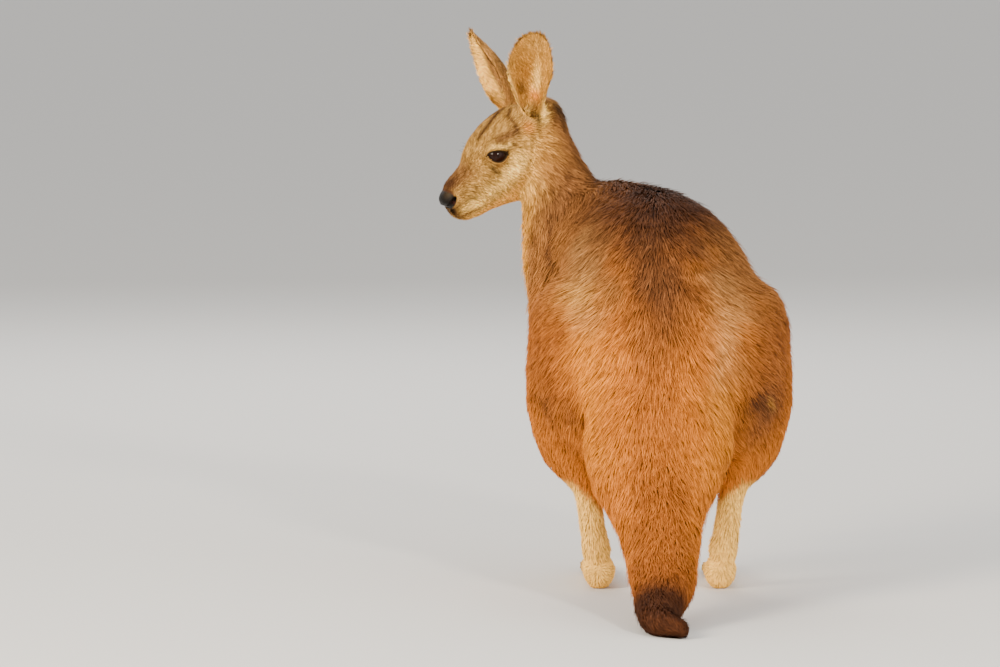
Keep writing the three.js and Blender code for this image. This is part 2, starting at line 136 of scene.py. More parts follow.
def streak(places, path, radius):
    """1 along a path of points, fading to nothing a little past the radius."""
    path = np.asarray(path, float)
    nearest = np.full(len(places), 1e9)
    for start, end in zip(path[:-1], path[1:]):
        run = end - start
        t = np.clip((places - start) @ run / (run @ run), 0, 1)
        nearest = np.minimum(nearest, np.linalg.norm(places - start - t[:, None] * run, axis=1))
    return np.exp(-((nearest / radius) ** 2))


def ripple(points, size, seed, waves=5):
    """A smooth, seeded wobble from about -1 to 1, with swells about a size apart."""
    rng = np.random.default_rng(seed)
    total = np.zeros(len(points))
    for _ in range(waves):
        way = unit(rng.normal(size=3)) * 2 * math.pi / (size * rng.uniform(0.7, 1.5))
        total += np.sin(points @ way + rng.uniform(0, 2 * math.pi))
    return total / math.sqrt(waves)


# ---------------------------------------------------------------- the coat's own measures


class Coat(NamedTuple):
    """What one region's coat is like, in millimetres."""

    soften: float  # how far its facets are smoothed away, from 0 to 1
    depth: float  # from the skin to the coat's face
    length: float  # of a tuft
    width: float  # of a tuft
    cover: float  # how many tufts lie over any point


COATS = {
    "torso": Coat(0.6, 5.5, 27, 1.45, 4.7),
    "neck": Coat(0.5, 5.0, 20, 1.35, 5.0),
    "thigh": Coat(0.8, 5.0, 26, 1.5, 4.8),
    "tail_base": Coat(0.9, 5.5, 26, 1.5, 4.3),
    "tail_middle": Coat(0.5, 5.0, 23, 1.5, 4.4),
    "tail_end": Coat(0.15, 4.0, 19, 1.4, 4.2),
    "shank": Coat(0.3, 2.2, 11, 1.6, 1.7),
    "foot": Coat(0.15, 1.6, 9, 1.5, 2.0),
    "upper_arm": Coat(0.3, 4.0, 18, 1.6, 3.2),
    "forearm": Coat(0.1, 2.4, 12, 1.3, 2.8),
    "hand": Coat(0.02, 1.2, 5, 0.8, 2.4),
    "head": Coat(0.03, 1.7, 5.6, 0.78, 3.3),
    "ear": Coat(0.01, 0.8, 6.5, 0.8, 2.6),
    "nose": Coat(0.02, 0.8, 5.0, 0.7, 3.6),
}
KINDS = list(COATS)


def kind_of(node):
    for side in SIDES:
        node = node.removesuffix("_" + side)
    return node


# ---------------------------------------------------------------- meshes


def new_object(name, mesh):
    piece = bpy.data.objects.new(name, mesh)
    bpy.context.scene.collection.objects.link(piece)
    return piece


def from_bmesh(name, bm):
    mesh = bpy.data.meshes.new(name)
    bm.to_mesh(mesh)
    bm.free()
    mesh.shade_smooth()
    return new_object(name, mesh)


def finished_with(piece, kind, **settings):
    """Gives the piece one modifier and makes its result the piece's own mesh."""
    modifier = piece.modifiers.new(kind.title(), kind)
    for key, value in settings.items():
        setattr(modifier, key, value)
    evaluated = piece.evaluated_get(bpy.context.evaluated_depsgraph_get())
    mesh = bpy.data.meshes.new_from_object(evaluated)
    piece.modifiers.clear()
    old, piece.data = piece.data, mesh
    bpy.data.meshes.remove(old)
    return piece


def read(items, field, width, kind=float):
    values = np.empty(len(items) * width, kind)
    items.foreach_get(field, values)
    return values.reshape(-1, width)


def places_of(mesh):
    return read(mesh.vertices, "co", 3)


def put_places(mesh, places):
    mesh.vertices.foreach_set("co", np.asarray(places, float).ravel())
    mesh.update()


def normals_of(mesh):
    return read(mesh.vertex_normals, "vector", 3)


def edges_of(mesh):
    return read(mesh.edges, "vertices", 2, int)


def triangles_of(mesh):
    """The faces of a mesh that is all triangles."""
    return read(mesh.loops, "vertex_index", 1, int).reshape(-1, 3)


def relaxed(values, edges, rounds):
    """Each vertex's values averaged with its neighbours' again and again."""
    count = len(values)
    ends = np.concatenate([edges[:, 0], edges[:, 1]])
    others = np.concatenate([edges[:, 1], edges[:, 0]])
    number = np.maximum(np.bincount(ends, minlength=count), 1)
    values = values.copy()
    for _ in range(rounds):
        for column in values.T:
            column[:] = (column + np.bincount(ends, column[others], count) / number) / 2
    return values


def add_attribute(mesh, name, kind, values, domain="POINT"):
    key = {"FLOAT": "value", "FLOAT_VECTOR": "vector", "FLOAT_COLOR": "color"}[kind]
    attribute = mesh.attributes.new(name, kind, domain)
    attribute.data.foreach_set(key, np.asarray(values, np.float32).ravel())


# ---------------------------------------------------------------- the flesh, as one skin

WELD = 0.01 * MM
SWELL = 0.35 * MM  # closes the gaps between neighbouring solids
VOXEL = 2.0 * MM
KEEP = 0.36  # the share of faces kept before the forms are smoothed
KEEP_SMOOTH = 0.5  # and after
FILL_ROUNDS, SMOOTH_ROUNDS = ((420, 90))
FILL_STEP = 1.8  # how much of the way to its neighbours' middle a place is lifted each round
ROUNDS_A_NORMAL = 8  # how many rounds use the same normals


def joined_flesh():
    bm = bmesh.new()
    for name in FLESH + EYES:
        bm.from_mesh(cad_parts[name].data)
    bmesh.ops.remove_doubles(bm, verts=bm.verts, dist=WELD)
    bm.normal_update()
    for vert in bm.verts:
        vert.co += vert.normal * SWELL
    return from_bmesh("skin", bm)


def flesh_finder():
    """A tree of the flesh's faces, and the kind of region that each face belongs to."""
    verts, faces, owners = [], [], []
    for name in FLESH:
        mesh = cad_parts[name].data
        start = len(verts)
        verts += [vert.co.copy() for vert in mesh.vertices]
        faces += [[start + i for i in face.vertices] for face in mesh.polygons]
        owners += [name] * len(mesh.polygons)
    return BVHTree.FromPolygons(verts, faces), owners


def owners_at(places):
    tree, owners = flesh_finder()
    return [owners[tree.find_nearest(place)[2]] for place in map(Vector, places)]


def shares(owners):
    """How much each vertex belongs to each kind of region: one column a kind."""
    table = np.zeros((len(owners), len(KINDS)))
    for row, owner in enumerate(owners):
        table[row, KINDS.index(kind_of(owner))] = 1
    return table


def measure(table, field):
    return table @ np.array([getattr(COATS[kind], field) for kind in KINDS])


def weigh(piece, name, weights):
    """Gives the piece a vertex group with these weights, to the nearest hundredth."""
    group = piece.vertex_groups.new(name=name)
    levels = np.round(weights, 2)
    for level in np.unique(levels):
        group.add(np.flatnonzero(levels == level).tolist(), float(level), "REPLACE")


def smoothed(skin, weights, rounds):
    """Where the vertices go when the mesh is smoothed, each by its own weight."""
    copy = new_object("smoothing", skin.data.copy())
    weigh(copy, "soften", weights)
    finished_with(copy, "SMOOTH", factor=1.0, iterations=rounds, vertex_group="soften")
    mesh, places = copy.data, places_of(copy.data)
    bpy.data.objects.remove(copy)
    bpy.data.meshes.remove(mesh)
    return places


def softened(skin, weights, rounds):
    """Smooths facets away without shrinking the form: twice one smoothing less a longer one."""
    once = smoothed(skin, weights, rounds)
    twice = smoothed(skin, weights, rounds * 2)
    put_places(skin.data, 2 * once - twice)


def crease_weights(table, here):
    """How far the skin bridges the creases at each place: most at the rump, not at all on the head."""
    z = here[:, 2]
    bridged = {"torso": 0.25 + 0.75 * ramp(400, 320, z), "thigh": 1.0, "tail_base": 1.0, "tail_middle": 0.7}
    bridged |= {"shank": 0.5, "foot": 0.35 * ramp(-40, -20, here[:, 1]), "neck": 0.15, "upper_arm": 0.3}
    return sum(table[:, KINDS.index(kind)] * weight for kind, weight in bridged.items())


def filled(skin, weights, rounds):
    """Lifts the skin out of the creases between its muscles, and leaves the rest where it is."""
    edges, places = edges_of(skin.data), places_of(skin.data)
    for turn in range(rounds):
        if turn % ROUNDS_A_NORMAL == 0:
            put_places(skin.data, places)
            normals = normals_of(skin.data)
        step = FILL_STEP * ((relaxed(places, edges, rounds=1) - places) * normals).sum(1)
        places = places + normals * (np.maximum(step, 0) * weights)[:, None]
    put_places(skin.data, places)


def thinned(skin, keep):
    """Fewer faces, and the head, ears, hands and feet keep most of theirs."""
    table = shares(owners_at(places_of(skin.data)))
    fine = table[:, [KINDS.index(kind) for kind in ("head", "ear", "nose", "hand", "foot")]].sum(1)
    weigh(skin, "thin", 1 - fine)
    settings = {"vertex_group": "thin", "vertex_group_factor": 1.0, "use_collapse_triangulate": True}
    finished_with(skin, "DECIMATE", ratio=keep, **settings)
    skin.vertex_groups.clear()


# Where the skin needs finer faces: centre and radius in the head's frame, and how many times.
FINE_SPOTS = [
    ((74, 33, 8), 25, 2),
    ((74, -33, 8), 25, 2),
    ((150, 0, -14), 30, 2),
]


def refined(skin):
    for centre, radius, times in FINE_SPOTS:
        for turn in range(times):
            bm = bmesh.new()
            bm.from_mesh(skin.data)
            middle, reach = Vector(from_head(centre)), (radius - 4 * turn) * MM
            near = [e for e in bm.edges if all((end.co - middle).length < reach for end in e.verts)]
            bmesh.ops.subdivide_edges(bm, edges=near, cuts=1)
            bmesh.ops.triangulate(bm, faces=[f for f in bm.faces if len(f.verts) > 3])
            bm.to_mesh(skin.data)
            bm.free()


# ---------------------------------------------------------------- the head's own forms

BROW_RIDGE = [((84, 40, 17), 7, 1.6), ((70, 42, 19), 8, 1.8), ((56, 42, 14), 7, 1.2)]
UNDER_EYE = [((84, 41, -7), 6, -1.2), ((70, 46, -9), 7, -0.8)]
CHEEK = [((60, 40, -28), 16, 2.2), ((96, 30, -20), 12, -1.2), ((112, 22, 6), 12, -1.0)]
MUZZLE = [((142, 17, -18), 9, 1.6), ((128, 20, -10), 10, 0.8), ((120, 0, 16), 11, 0.8)]
CHIN = [((144, 0, -40), 8, 0.8), ((128, 12, -40), 8, 0.6)]
MOUTH = [(166, 0, -29), (158, 6, -32), (154, 10, -35), (146, 13, -37)]
MOUTH += [(138, 16, -38), (128, 18, -39), (120, 20, -40)]
NOSTRIL = [(159, 9, -13), (156, 14, -12), (152, 18, -10), (146, 20, -7)]
LIP_CLEFT = [(162, 0, -8), (162, 0, -20)]
NOSE_PAD = ((153, 0, -7), (14.5, 22, 12.3))  # its middle and how far it reaches each way
NOSE_DOME = ((141, 0, -7), (20.5, 20.5, 13))
NOSE_EDGE = [((139, 13, 3), 6, 1.4), ((137, 5, 9), 6, 1.2), ((141, 18, -6), 5, 1.2)]
FACE_FORMS = BROW_RIDGE + UNDER_EYE + CHEEK + MUZZLE + CHIN + NOSE_EDGE  # centre, radius and height
# Cuts and the rolls beside them: how high, along which path, how far off it and how wide.
GROOVES = [
    (-3.4, MOUTH, (0, 0, 0), 1.6),
    (0.7, MOUTH[1:], (0, 1, 4), 3.0),
    (-5.0, NOSTRIL, (0, 0, 0), 1.9),
    (0.9, NOSTRIL, (1, 2, 4), 2.2),
]


def sided(place, sign):
    return np.asarray(place, float) * (1, sign, 1)


def folded(head):
    """Places of both sides of the head, laid on its left."""
    return head * (1, 0, 1) + np.abs(head) * (0, 1, 0)


def on_nose(head):
    """1 on the bare pad of the nose, 0 off it."""
    pad, reach = NOSE_PAD
    return ramp(1.06, 0.94, np.linalg.norm((head - pad) / reach, axis=1))


def head_forms(skin):
    """Rounds the nose, raises the brow, cheek, muzzle and chin, and cuts the mouth and the nostrils."""
    places, normals = places_of(skin.data), normals_of(skin.data)
    here = in_head(places)
    offset = here - NOSE_DOME[0]
    reach = np.linalg.norm(offset / NOSE_DOME[1], axis=1)[:, None]
    dome = np.where(reach > 0.5, NOSE_DOME[0] + offset / np.maximum(reach, 0.5), here)
    here = here + (dome - here) * (0.8 * on_nose(here))[:, None]
    places = from_head(here)
    height = np.zeros(len(places))
    for sign in (1, -1):
        for centre, radius, rise in FACE_FORMS:
            share = 1 if centre[1] else 0.5
            height += share * rise * spot(here, sided(centre, sign), (radius,) * 3)
        for rise, path, beside, radius in GROOVES:
            height += rise * streak(here, [sided(p, sign) + beside for p in path], radius)
    height -= 1.3 * streak(here, LIP_CLEFT, 1.2)
    put_places(skin.data, places + normals * height[:, None] * MM)


LID = 1.9  # the lid's thickness over the eyeball
SUNK = 2.2  # how far the skin lies under the eyeball inside the opening
LID_EDGE = 0.6  # how far outside the opening the lid has its whole thickness
OPEN_LONG, OPEN_HIGH = 12.0, 6.4  # half the opening's length and height
LID_SHIFT = (1.0, -0.3)  # how far behind and below the eye's centre the opening's corners lie
LID_FOLD = 4.2  # how far outside the opening the lid's fold runs
EYE_AREA = 24  # how far from the eye's centre the coat knows about the eye
# The upper and the lower lid: height for the opening's, its growth towards the nose, and its arch.
LIDS = [(0.84, 0.06, 0.48), (1.16, -0.2, 0.8)]


def eye_frame(sign):
    """Rows: the ways along the opening, up across it, and out of the eye, in the head's frame."""
    out = sided(EYE_LOOK, sign)
    along = np.array([math.cos(EYE_SLANT), 0, math.sin(EYE_SLANT)])
    along = unit(along - out * (along @ out))
    up = np.cross(out, along) * sign
    return np.array([along, up if up[2] > 0 else -up, out])


def lid_distance(here, sign):
    """How far each place is outside the lids' opening, out from the eye's centre, and above its middle."""
    offset = here - sided(EYE_CENTRE, sign)
    along, up, out = (offset @ eye_frame(sign).T).T
    reach = np.linalg.norm(offset, axis=1)
    scale = EYEBALL / np.maximum(reach, 1)
    along, up = along * scale + LID_SHIFT[0], up * scale + LID_SHIFT[1]
    inside = np.clip(1 - (along / OPEN_LONG) ** 2, 0, 1)
    front = np.clip(along / OPEN_LONG, -1, 1)
    upper, lower = (OPEN_HIGH * (high + growth * front) * inside**arch for high, growth, arch in LIDS)
    edge = np.where(up > 0, up - upper, -up - lower)
    beyond = np.abs(along) - OPEN_LONG
    distance = np.where(np.abs(along) < OPEN_LONG, edge, np.hypot(np.maximum(beyond, 0), up))
    return np.where(out > 0, distance, 30.0), reach, up


def open_eyes(skin):
    """Sinks the skin under each eyeball inside the opening, and gives the lids their rims and folds."""
    places = places_of(skin.data)
    here = in_head(places)
    for sign in (1, -1):
        distance, reach, _ = lid_distance(here, sign)
        near = (reach < 26) & (distance < 9)
        out = unit(here - sided(EYE_CENTRE, sign))
        # the lid's rim rolls up just outside the opening, dips at the fold and runs out into the face
        rim = EYEBALL + LID
        roll = 0.7 * hump(distance, 1.3, 1.2)
        lid = rim + roll - 0.9 * hump(distance, LID_FOLD, 0.9)
        blend = ramp(1.5, 8.5, distance)
        wanted = lid * (1 - blend) + np.maximum(reach, rim) * blend
        rise = (LID + SUNK + roll) * ramp(-1.0, LID_EDGE, distance)
        wanted = np.where(distance < LID_EDGE, EYEBALL - SUNK + rise, wanted)
        here[near] = (sided(EYE_CENTRE, sign) + out * wanted[:, None])[near]
    put_places(skin.data, from_head(here))


# ---------------------------------------------------------------- the lie of the coat

SPINE = 4.0  # how far left of the body's middle the spine runs, mm
FLANK = 105  # how far from the spine the coat has turned away from it, mm
THROAT = np.array([0.83, -0.55, 0.0])  # the way that the throat faces
NAPE = unit(np.array([-0.9, 0.2, 0.4]))  # the way that the neck's crest faces
NECK_LIE = unit(np.array([-0.42, 0.2, -0.85]))
SHANK_LIE, FOOT_LIE = np.array([0, 0.05, -1]), unit(np.array([0, -1, -0.35]))
TAIL_LIE = [(200, (0, 0.35, -0.93)), (300, (0, 0.8, -0.6)), (420, (0, 0.97, -0.2)), (520, (-0.5, 0.85, 0))]
DOWN_BACK = unit(np.array([0.0, 0.5, -0.87]))


def fan(here, normals, most):
    """Down and rearward at the spine, turning round the body's sides away from it."""
    off = here[:, 0] - SPINE
    turn = math.radians(most) * np.clip(np.abs(off) / FLANK, 0, 1) ** 0.75
    round_body = np.tanh(off / 8)[:, None] * np.cross(normals, (0, 0, 1))
    belly = ramp(0.0, 0.6, -normals[:, 1])
    turn = turn * (1 - 0.8 * belly)
    return DOWN_BACK * np.cos(turn)[:, None] + round_body * np.sin(turn)[:, None]


def tail_lie(here):
    stations = [station for station, _ in TAIL_LIE]
    ways = np.array([way for _, way in TAIL_LIE], float)
    return unit(np.stack([np.interp(here[:, 1], stations, ways[:, i]) for i in range(3)], 1))


def head_lie(here):
    """Back from the nose over the crown, and down over the cheeks."""
    x, _, z = here.T
    sink = 2.4 * ramp(14, -16, z) * ramp(138, 108, x) + 0.9 * ramp(30, 8, z) * ramp(66, 48, x)
    ways = np.stack([-np.ones(len(here)), np.zeros(len(here)), -sink], 1)
    ways[:, 1] = 0.25 * np.sign(here[:, 1]) * ramp(60, 110, here[:, 0])
    return ways @ HEAD


def middle(node):
    low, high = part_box(node)
    return (np.array(low) + np.array(high)) / 2


def limb_lie(kind, side):
    """Down an arm towards its fingers."""
    chain = ["upper_arm", "forearm", "hand"]
    step = chain.index(kind)
    upper, lower = (f"{chain[i]}_{side}" for i in (min(step, 1), min(step, 1) + 1))
    return unit(middle(lower) - middle(upper))


class Ear(NamedTuple):
    foot: tuple
    tip: tuple
    opens: tuple


EARS = {
    "left": Ear((153, -234, 570), (153, -196, 699), (0.25, 0.95, -0.2)),
    "right": Ear((172, -272, 576), (241, -291, 698), (0.85, 0.45, -0.3)),
}


def coat_lie(places, normals, owners, edges):
    """The way that the coat lies at each vertex, along the skin."""
    here, head = in_body(places), in_head(places)
    lie = np.tile(DOWN_BACK, (len(places), 1))
    face, tail = head_lie(head), unit(tail_lie(here) + 0.35 * fan(here, normals, most=80))
    ways = {"torso": fan(here, normals, most=62), "thigh": fan(here, normals, most=70)}
    ways |= {"head": face, "nose": face}
    ways |= {"tail_base": tail, "tail_middle": tail, "tail_end": tail}
    ways |= {"neck": NECK_LIE, "shank": SHANK_LIE, "foot": FOOT_LIE}
    for node in np.unique(owners):
        kind, mine = kind_of(node), owners == node
        side = node.rsplit("_", 1)[-1]
        if kind in ways:
            lie[mine] = np.broadcast_to(ways[kind], lie.shape)[mine]
        elif kind == "ear":
            off, across = ear_places(here[mine], side)
            run = unit(np.subtract(EARS[side].tip, EARS[side].foot).astype(float))
            lie[mine] = unit(run + across * (1.1 * np.tanh(off / 12))[:, None])
        else:
            lie[mine] = limb_lie(kind, side)
    lie = relaxed(lie, edges, rounds=30)
    lie -= normals * (lie * normals).sum(1)[:, None]
    return unit(lie)


# ---------------------------------------------------------------- markings


def paint(code):
    """The linear colour of a #rrggbb code."""
    channels = [int(code[i : i + 2], 16) / 255 for i in (1, 3, 5)]
    return np.array([c / 12.92 if c < 0.04045 else ((c + 0.055) / 1.055) ** 2.4 for c in channels])


GOLD, TAWNY, RUST, HONEY = paint("#ba691e"), paint("#a45c20"), paint("#86491c"), paint("#d4801c")
SADDLE, UMBER, GREY_BUFF = paint("#361d10"), paint("#5c381f"), paint("#b38048")
SHOULDER, RUFOUS, SHIN = paint("#8b5b2e"), paint("#955822"), paint("#ffc45e")
CREAM, PALE, STRAW = paint("#fabc5a"), paint("#ffca68"), paint("#eaa23e")
FAWN, BUFF, MUZZLE_BROWN = paint("#a4783a"), paint("#e2a34a"), paint("#6e4424")
INK, SOOT, BARK = paint("#0e0a08"), paint("#24150c"), paint("#432514")
# the nose's own dark grey, a painted highlight for its top, and the red inside its nostrils
NOSE_GREY, NOSE_PAINTED_HIGHLIGHT, NOSTRIL_RED = paint("#0c0804"), paint("#46351d"), paint("#5a1e10")
ORANGE, OCHRE, EAR_BACK, EAR_CUP = paint("#d67c26"), paint("#8e5a1c"), paint("#b98244"), paint("#c48a38")

BASE_COLOURS = {
    "torso": GOLD,
    "neck": RUFOUS,
    "thigh": GOLD,
    "tail_base": GOLD,
    "tail_middle": GOLD,
    "tail_end": TAWNY,
    "shank": GOLD,
    "foot": STRAW,
    "upper_arm": GREY_BUFF,
    "forearm": UMBER,
    "hand": BARK,
    "head": FAWN,
    "ear": EAR_BACK,
    "nose": BARK,
}


def told(places, table, where=1.0):
    """The marks of a table: how strong, of which shape, where, how far it reaches and its colour."""
    return [(most * shape(places, place, reach) * where, hue) for most, shape, place, reach, hue in table]


# Paths down the body, in its frame.
LIGHT_BANDS = [
    [(84, -84, 450), (82, -40, 428), (90, 20, 385), (84, 50, 350)],
    [(-60, 0, 400), (-79, 34, 363), (-63, 87, 296), (-72, 120, 250)],
]
GOLDEN_BANDS = [
    [(82, 62, 325), (79, 89, 262), (84, 130, 222), (69, 179, 189), (60, 215, 165)],
    [(-66, 100, 262), (-74, 138, 216), (-56, 180, 190), (-44, 215, 165)],
]
LIGHT_MARKS = [(0.6, streak, path, 20, GREY_BUFF) for path in LIGHT_BANDS]
GOLDEN_MARKS = [(0.68, streak, path, 27, HONEY) for path in GOLDEN_BANDS]
SHOULDER_CREASE = [(130, -190, 470), (132, -164, 452), (132, -152, 412), (124, -100, 392)]
# Painted shade where the thighs and flanks fold and along the shoulder's crease, with a painted highlight
# in the right fold.
PAINTED_FOLD_SHADE = [
    (0.75, spot, (146, 19, 246), (22, 45, 26), UMBER),
    (0.5, spot, (110, 61, 239), (22, 22, 14), UMBER),
    (0.75, spot, (-128, 40, 246), (26, 40, 26), UMBER),
    (0.75, spot, (-112, 56, 254), (18, 24, 10), SADDLE),
    (0.6, spot, (-131, 40, 250), (5, 9, 5), STRAW),
    (0.75, streak, SHOULDER_CREASE, 7, BARK),
]


def body_marks(here, normals, share):
    x, _, z = here.T
    off = x - SPINE
    neck, torso, thigh = share("neck"), share("torso"), share("thigh")
    flesh = torso + thigh + share("tail_base") + neck + share("upper_arm")
    wave = 10 * ripple(here, size=60, seed=31)
    back = ramp(-0.65, 0.0, normals[:, 1]) * flesh
    saddle_middle = np.interp(z, [300, 395, 430, 455, 490], [6, -7, 4, 12, -2])
    saddle_half = np.interp(z, [250, 330, 400, 430, 455, 480], [26, 44, 60, 62, 68, 92])
    saddle = hump(x - saddle_middle + 0.8 * wave, 0, saddle_half) * back
    belly = ramp(0.35, 0.75, -normals[:, 1]) * ramp(500, 440, z) * (torso + thigh)
    crest = np.clip(neck + torso, 0, 1) * ramp(0.45, 0.95, normals @ NAPE)
    return [
        # the sides of the rump and thighs run redder, and painted shade darkens the right flank
        (0.7 * ramp(85, 130, np.abs(off) + wave) * ramp(420, 330, z) * flesh, RUST),
        (0.36 * ramp(-56, -92, x + 0.5 * wave) * ramp(150, 230, z) * flesh, UMBER),
        # browner shoulders, and light bands down both sides of the back, golden on the rump
        (0.85 * ramp(30, 70, np.abs(off) + wave) * ramp(330, 410, z) * flesh, SHOULDER),
        (0.7 * ramp(34, 16, np.abs(off - 6) + 0.4 * wave) * ramp(460, 380, z) * back, TAWNY),
        *told(here + wave[:, None] * (0.7, 0, 0), LIGHT_MARKS, flesh),
        *told(here + wave[:, None] * (0.6, 0, 0), GOLDEN_MARKS, flesh),
        (0.45 * spot(here, (90, 4, 382), (22, 40, 24)) * flesh, BUFF),
        # the brown saddle, darkest across the shoulders
        (0.92 * ramp(270, 400, z) * saddle, UMBER),
        (0.85 * ramp(410, 482, z) * saddle, SADDLE),
        # the pale belly, chest and throat, and the neck's darker side and nape
        (0.85 * belly, CREAM),
        (0.5 * spot(here, (131, -184, 497), (26, 36, 50)) * (neck + torso), UMBER),
        (0.7 * ramp(233, 250, here @ THROAT) * (neck + torso), STRAW),
        (0.95 * spot(here, (133, -243, 604), (15, 26, 18)) * (neck + share("head")), SOOT),
        # the crest of the nape
        (0.45 * crest * ramp(430, 480, z) * ramp(560, 500, z), SADDLE),
        (0.3 * crest * ramp(500, 560, z), UMBER),
        (0.6 * crest * ramp(575, 600, z), SOOT),
        # painted shade in the folds and the shoulder's crease, and a painted highlight in the right fold
        *told(here, PAINTED_FOLD_SHADE, flesh),
    ]


def leg_marks(here, normals, share):
    x, y, z = here.T
    off = np.abs(x - SPINE)
    edge = 142 - 75 * np.clip((112 - off) / 60, 0, 1.4) ** 1.6  # the height of the pale shins' upper edge
    legs = share("shank") + share("thigh") + share("foot")
    return [
        (ramp(-8, 10, edge - z) * legs, SHIN),
        (0.8 * (ramp(0.1, 0.6, -normals[:, 1]) * ramp(300, 200, z) * legs), CREAM),
        (0.75 * ramp(-120, -210, y) * share("foot"), BARK),
        (0.5 * ramp(-190, -240, y) * share("foot"), INK),
    ]


def tail_marks(here, normals, share):
    x, y, _ = here.T
    tail = share("tail_base") + share("tail_middle") + share("tail_end")
    off = np.abs(x - 6) + 4 * ripple(here, size=40, seed=32)
    column = ramp(40, 24, off) * ramp(-0.2, 0.3, normals[:, 1])
    return [
        (0.6 * column * ramp(160, 230, y) * tail, RUST),
        (0.45 * ramp(300, 400, y) * tail, RUST),
        (0.92 * ramp(340, 392, y) * tail, SADDLE),
    ]


# Paths and places on the left of the head, in its frame, which both sides share.
CHEEK_STRIPE = [(54, 44, -14), (72, 41, -19), (92, 34, -25), (112, 27, -28), (130, 23, -28)]
LIP_BAND = [(149, 18, -27), (137, 21, -27), (124, 23, -30)]
LIP_LINE = [(155, 15, -17), (148, 20, -18), (138, 22, -19), (130, 24, -21)]
WHISKER_ROOTS = [(138, -8), (131, -5), (123, -3), (134, -14), (126, -12), (118, -9)]
WHISKER_ROOTS += [(129, -19), (120, -17)]
TEMPLE_PATCH = [(42, 38, 19), (50, 38, 21), (62, 37, 23)]
CROWN_LINE = [(-2, -2, 41), (20, 0, 43), (34, 4, 43), (56, 12, 41), (78, 14, 35)]
TEMPLE_LINE = [(20, 12, 41), (32, 24, 36), (33, 35, 25), (36, 40, 15)]
EYE_TAIL = [(61, 43, 6), (56, 44, 8), (50, 44, 8)]
EYE_CORNER = [(85, 37, 4), (89, 35, 3)]
TEAR_SMUDGE = [(91, 36, 2), (90, 37, -4), (86, 38, -10)]
NECK_LINE = [(62, 50, -54), (50, 52, -44), (42, 50, -34)]
MUZZLE_MARKS = [
    (0.9, spot, (142, 7, 8), (13, 14, 9), BARK),
    (0.85, streak, LIP_BAND, 5.4, PALE),
    (0.85, spot, (157, 8, -25), (9, 12, 8), BARK),
    (0.9, spot, (157, 9, -20), (7, 11, 5), SOOT),
    (0.35, streak, LIP_LINE, 3.0, BARK),
]
MUZZLE_MARKS += [(0.75, spot, (ahead, 24, high), (1.5, 8, 1.5), SOOT) for ahead, high in WHISKER_ROOTS]
BROW_MARKS = [
    (0.8, streak, TEMPLE_PATCH, 7.5, UMBER),
    (1.0, streak, CROWN_LINE, 4.0, BARK),
    (0.95, streak, TEMPLE_LINE, 3.0, BARK),
    (0.95, streak, EYE_TAIL, 3.3, BARK),
    (0.8, streak, EYE_CORNER, 1.8, SOOT),
    (0.8, streak, TEAR_SMUDGE, 2.8, SOOT),
]


def head_marks(head, share):
    both = folded(head)
    face = np.clip(share("head") + share("nose"), 0, 1)
    x, _, z = both.T
    return [
        # the fawn of the cheek runs on over the throat's side
        (share("neck") * ramp(4, 12, x + z) * ramp(0, 12, x), FAWN),
        (0.35 * ramp(24, -16, z) * ramp(100, 40, x) * face, BUFF),
        (0.7 * ramp(-30, -48, z) * ramp(30, 80, x) * face, CREAM),
        (0.8 * streak(both, CHEEK_STRIPE, 11) * face, PALE),
        (0.6 * spot(both, (20, 40, 13), (9, 8, 8)), ORANGE),
        (0.7 * ramp(94, 120, x) * ramp(-6, 8, z) * face, MUZZLE_BROWN),
        *told(both, MUZZLE_MARKS + BROW_MARKS, face),
        # the mouth's dark line: the lips' own dark edge, with painted shade in its groove
        *told(both, [(0.6, streak, NECK_LINE, 3.0, UMBER), (0.95, streak, MOUTH, 2.2, SOOT)]),
    ]


def ear_places(here, side):
    """How far across the ear each place is, and the way across."""
    ear = EARS[side]
    run = np.subtract(ear.tip, ear.foot).astype(float)
    length = np.linalg.norm(run)
    opens = unit(np.array(ear.opens) - run * (np.array(ear.opens) @ run) / length**2)
    across = np.cross(run / length, opens)
    return (here - np.array(ear.foot, float)) @ across, across


# Marks on the ears, in the body's frame.
EAR_RIM = [(193, -204, 660), (191, -209, 640), (183, -217, 618), (177, -215, 600)]
EAR_RIDGE = [(152, -222, 662), (154, -224, 637), (156, -227, 622)]
EAR_BASE = [(146, -212, 608), (147, -218, 598), (148, -212, 584)]
FAR_RIM = [(196, -290, 615), (206, -301, 633), (215, -304, 651), (223, -290, 671)]
FAR_RIM += [(229, -280, 681), (239, -296, 696)]
FLATTEN = np.array([1, 0.3, 1])  # so that a mark on the far ear reaches through it
# The near ear's ochre middle, its dark fringe and its ridges.
NEAR_EAR_MARKS = [
    (0.85, spot, (169, -221, 644), (16, 16, 30), OCHRE),
    (0.6, spot, (154, -207, 684), (16, 16, 15), FAWN),
    (0.75, spot, (174, -226, 624), (8, 12, 9), BARK),
    (0.75, streak, EAR_RIDGE, 5, PALE),
    (0.85, spot, (157, -228, 614), (6, 10, 9), ORANGE),
    (0.9, streak, EAR_RIM, 3.2, PALE),
]
# The folds at its foot, with painted shade in the dark cleft of its canal.
EAR_FOOT_MARKS = [
    (0.9, streak, EAR_BASE, 4.5, PALE),
    (0.85, spot, (168, -224, 594), (7, 9, 6), PALE),
    (0.95, spot, (155, -217, 588), (4, 16, 11), INK),
]


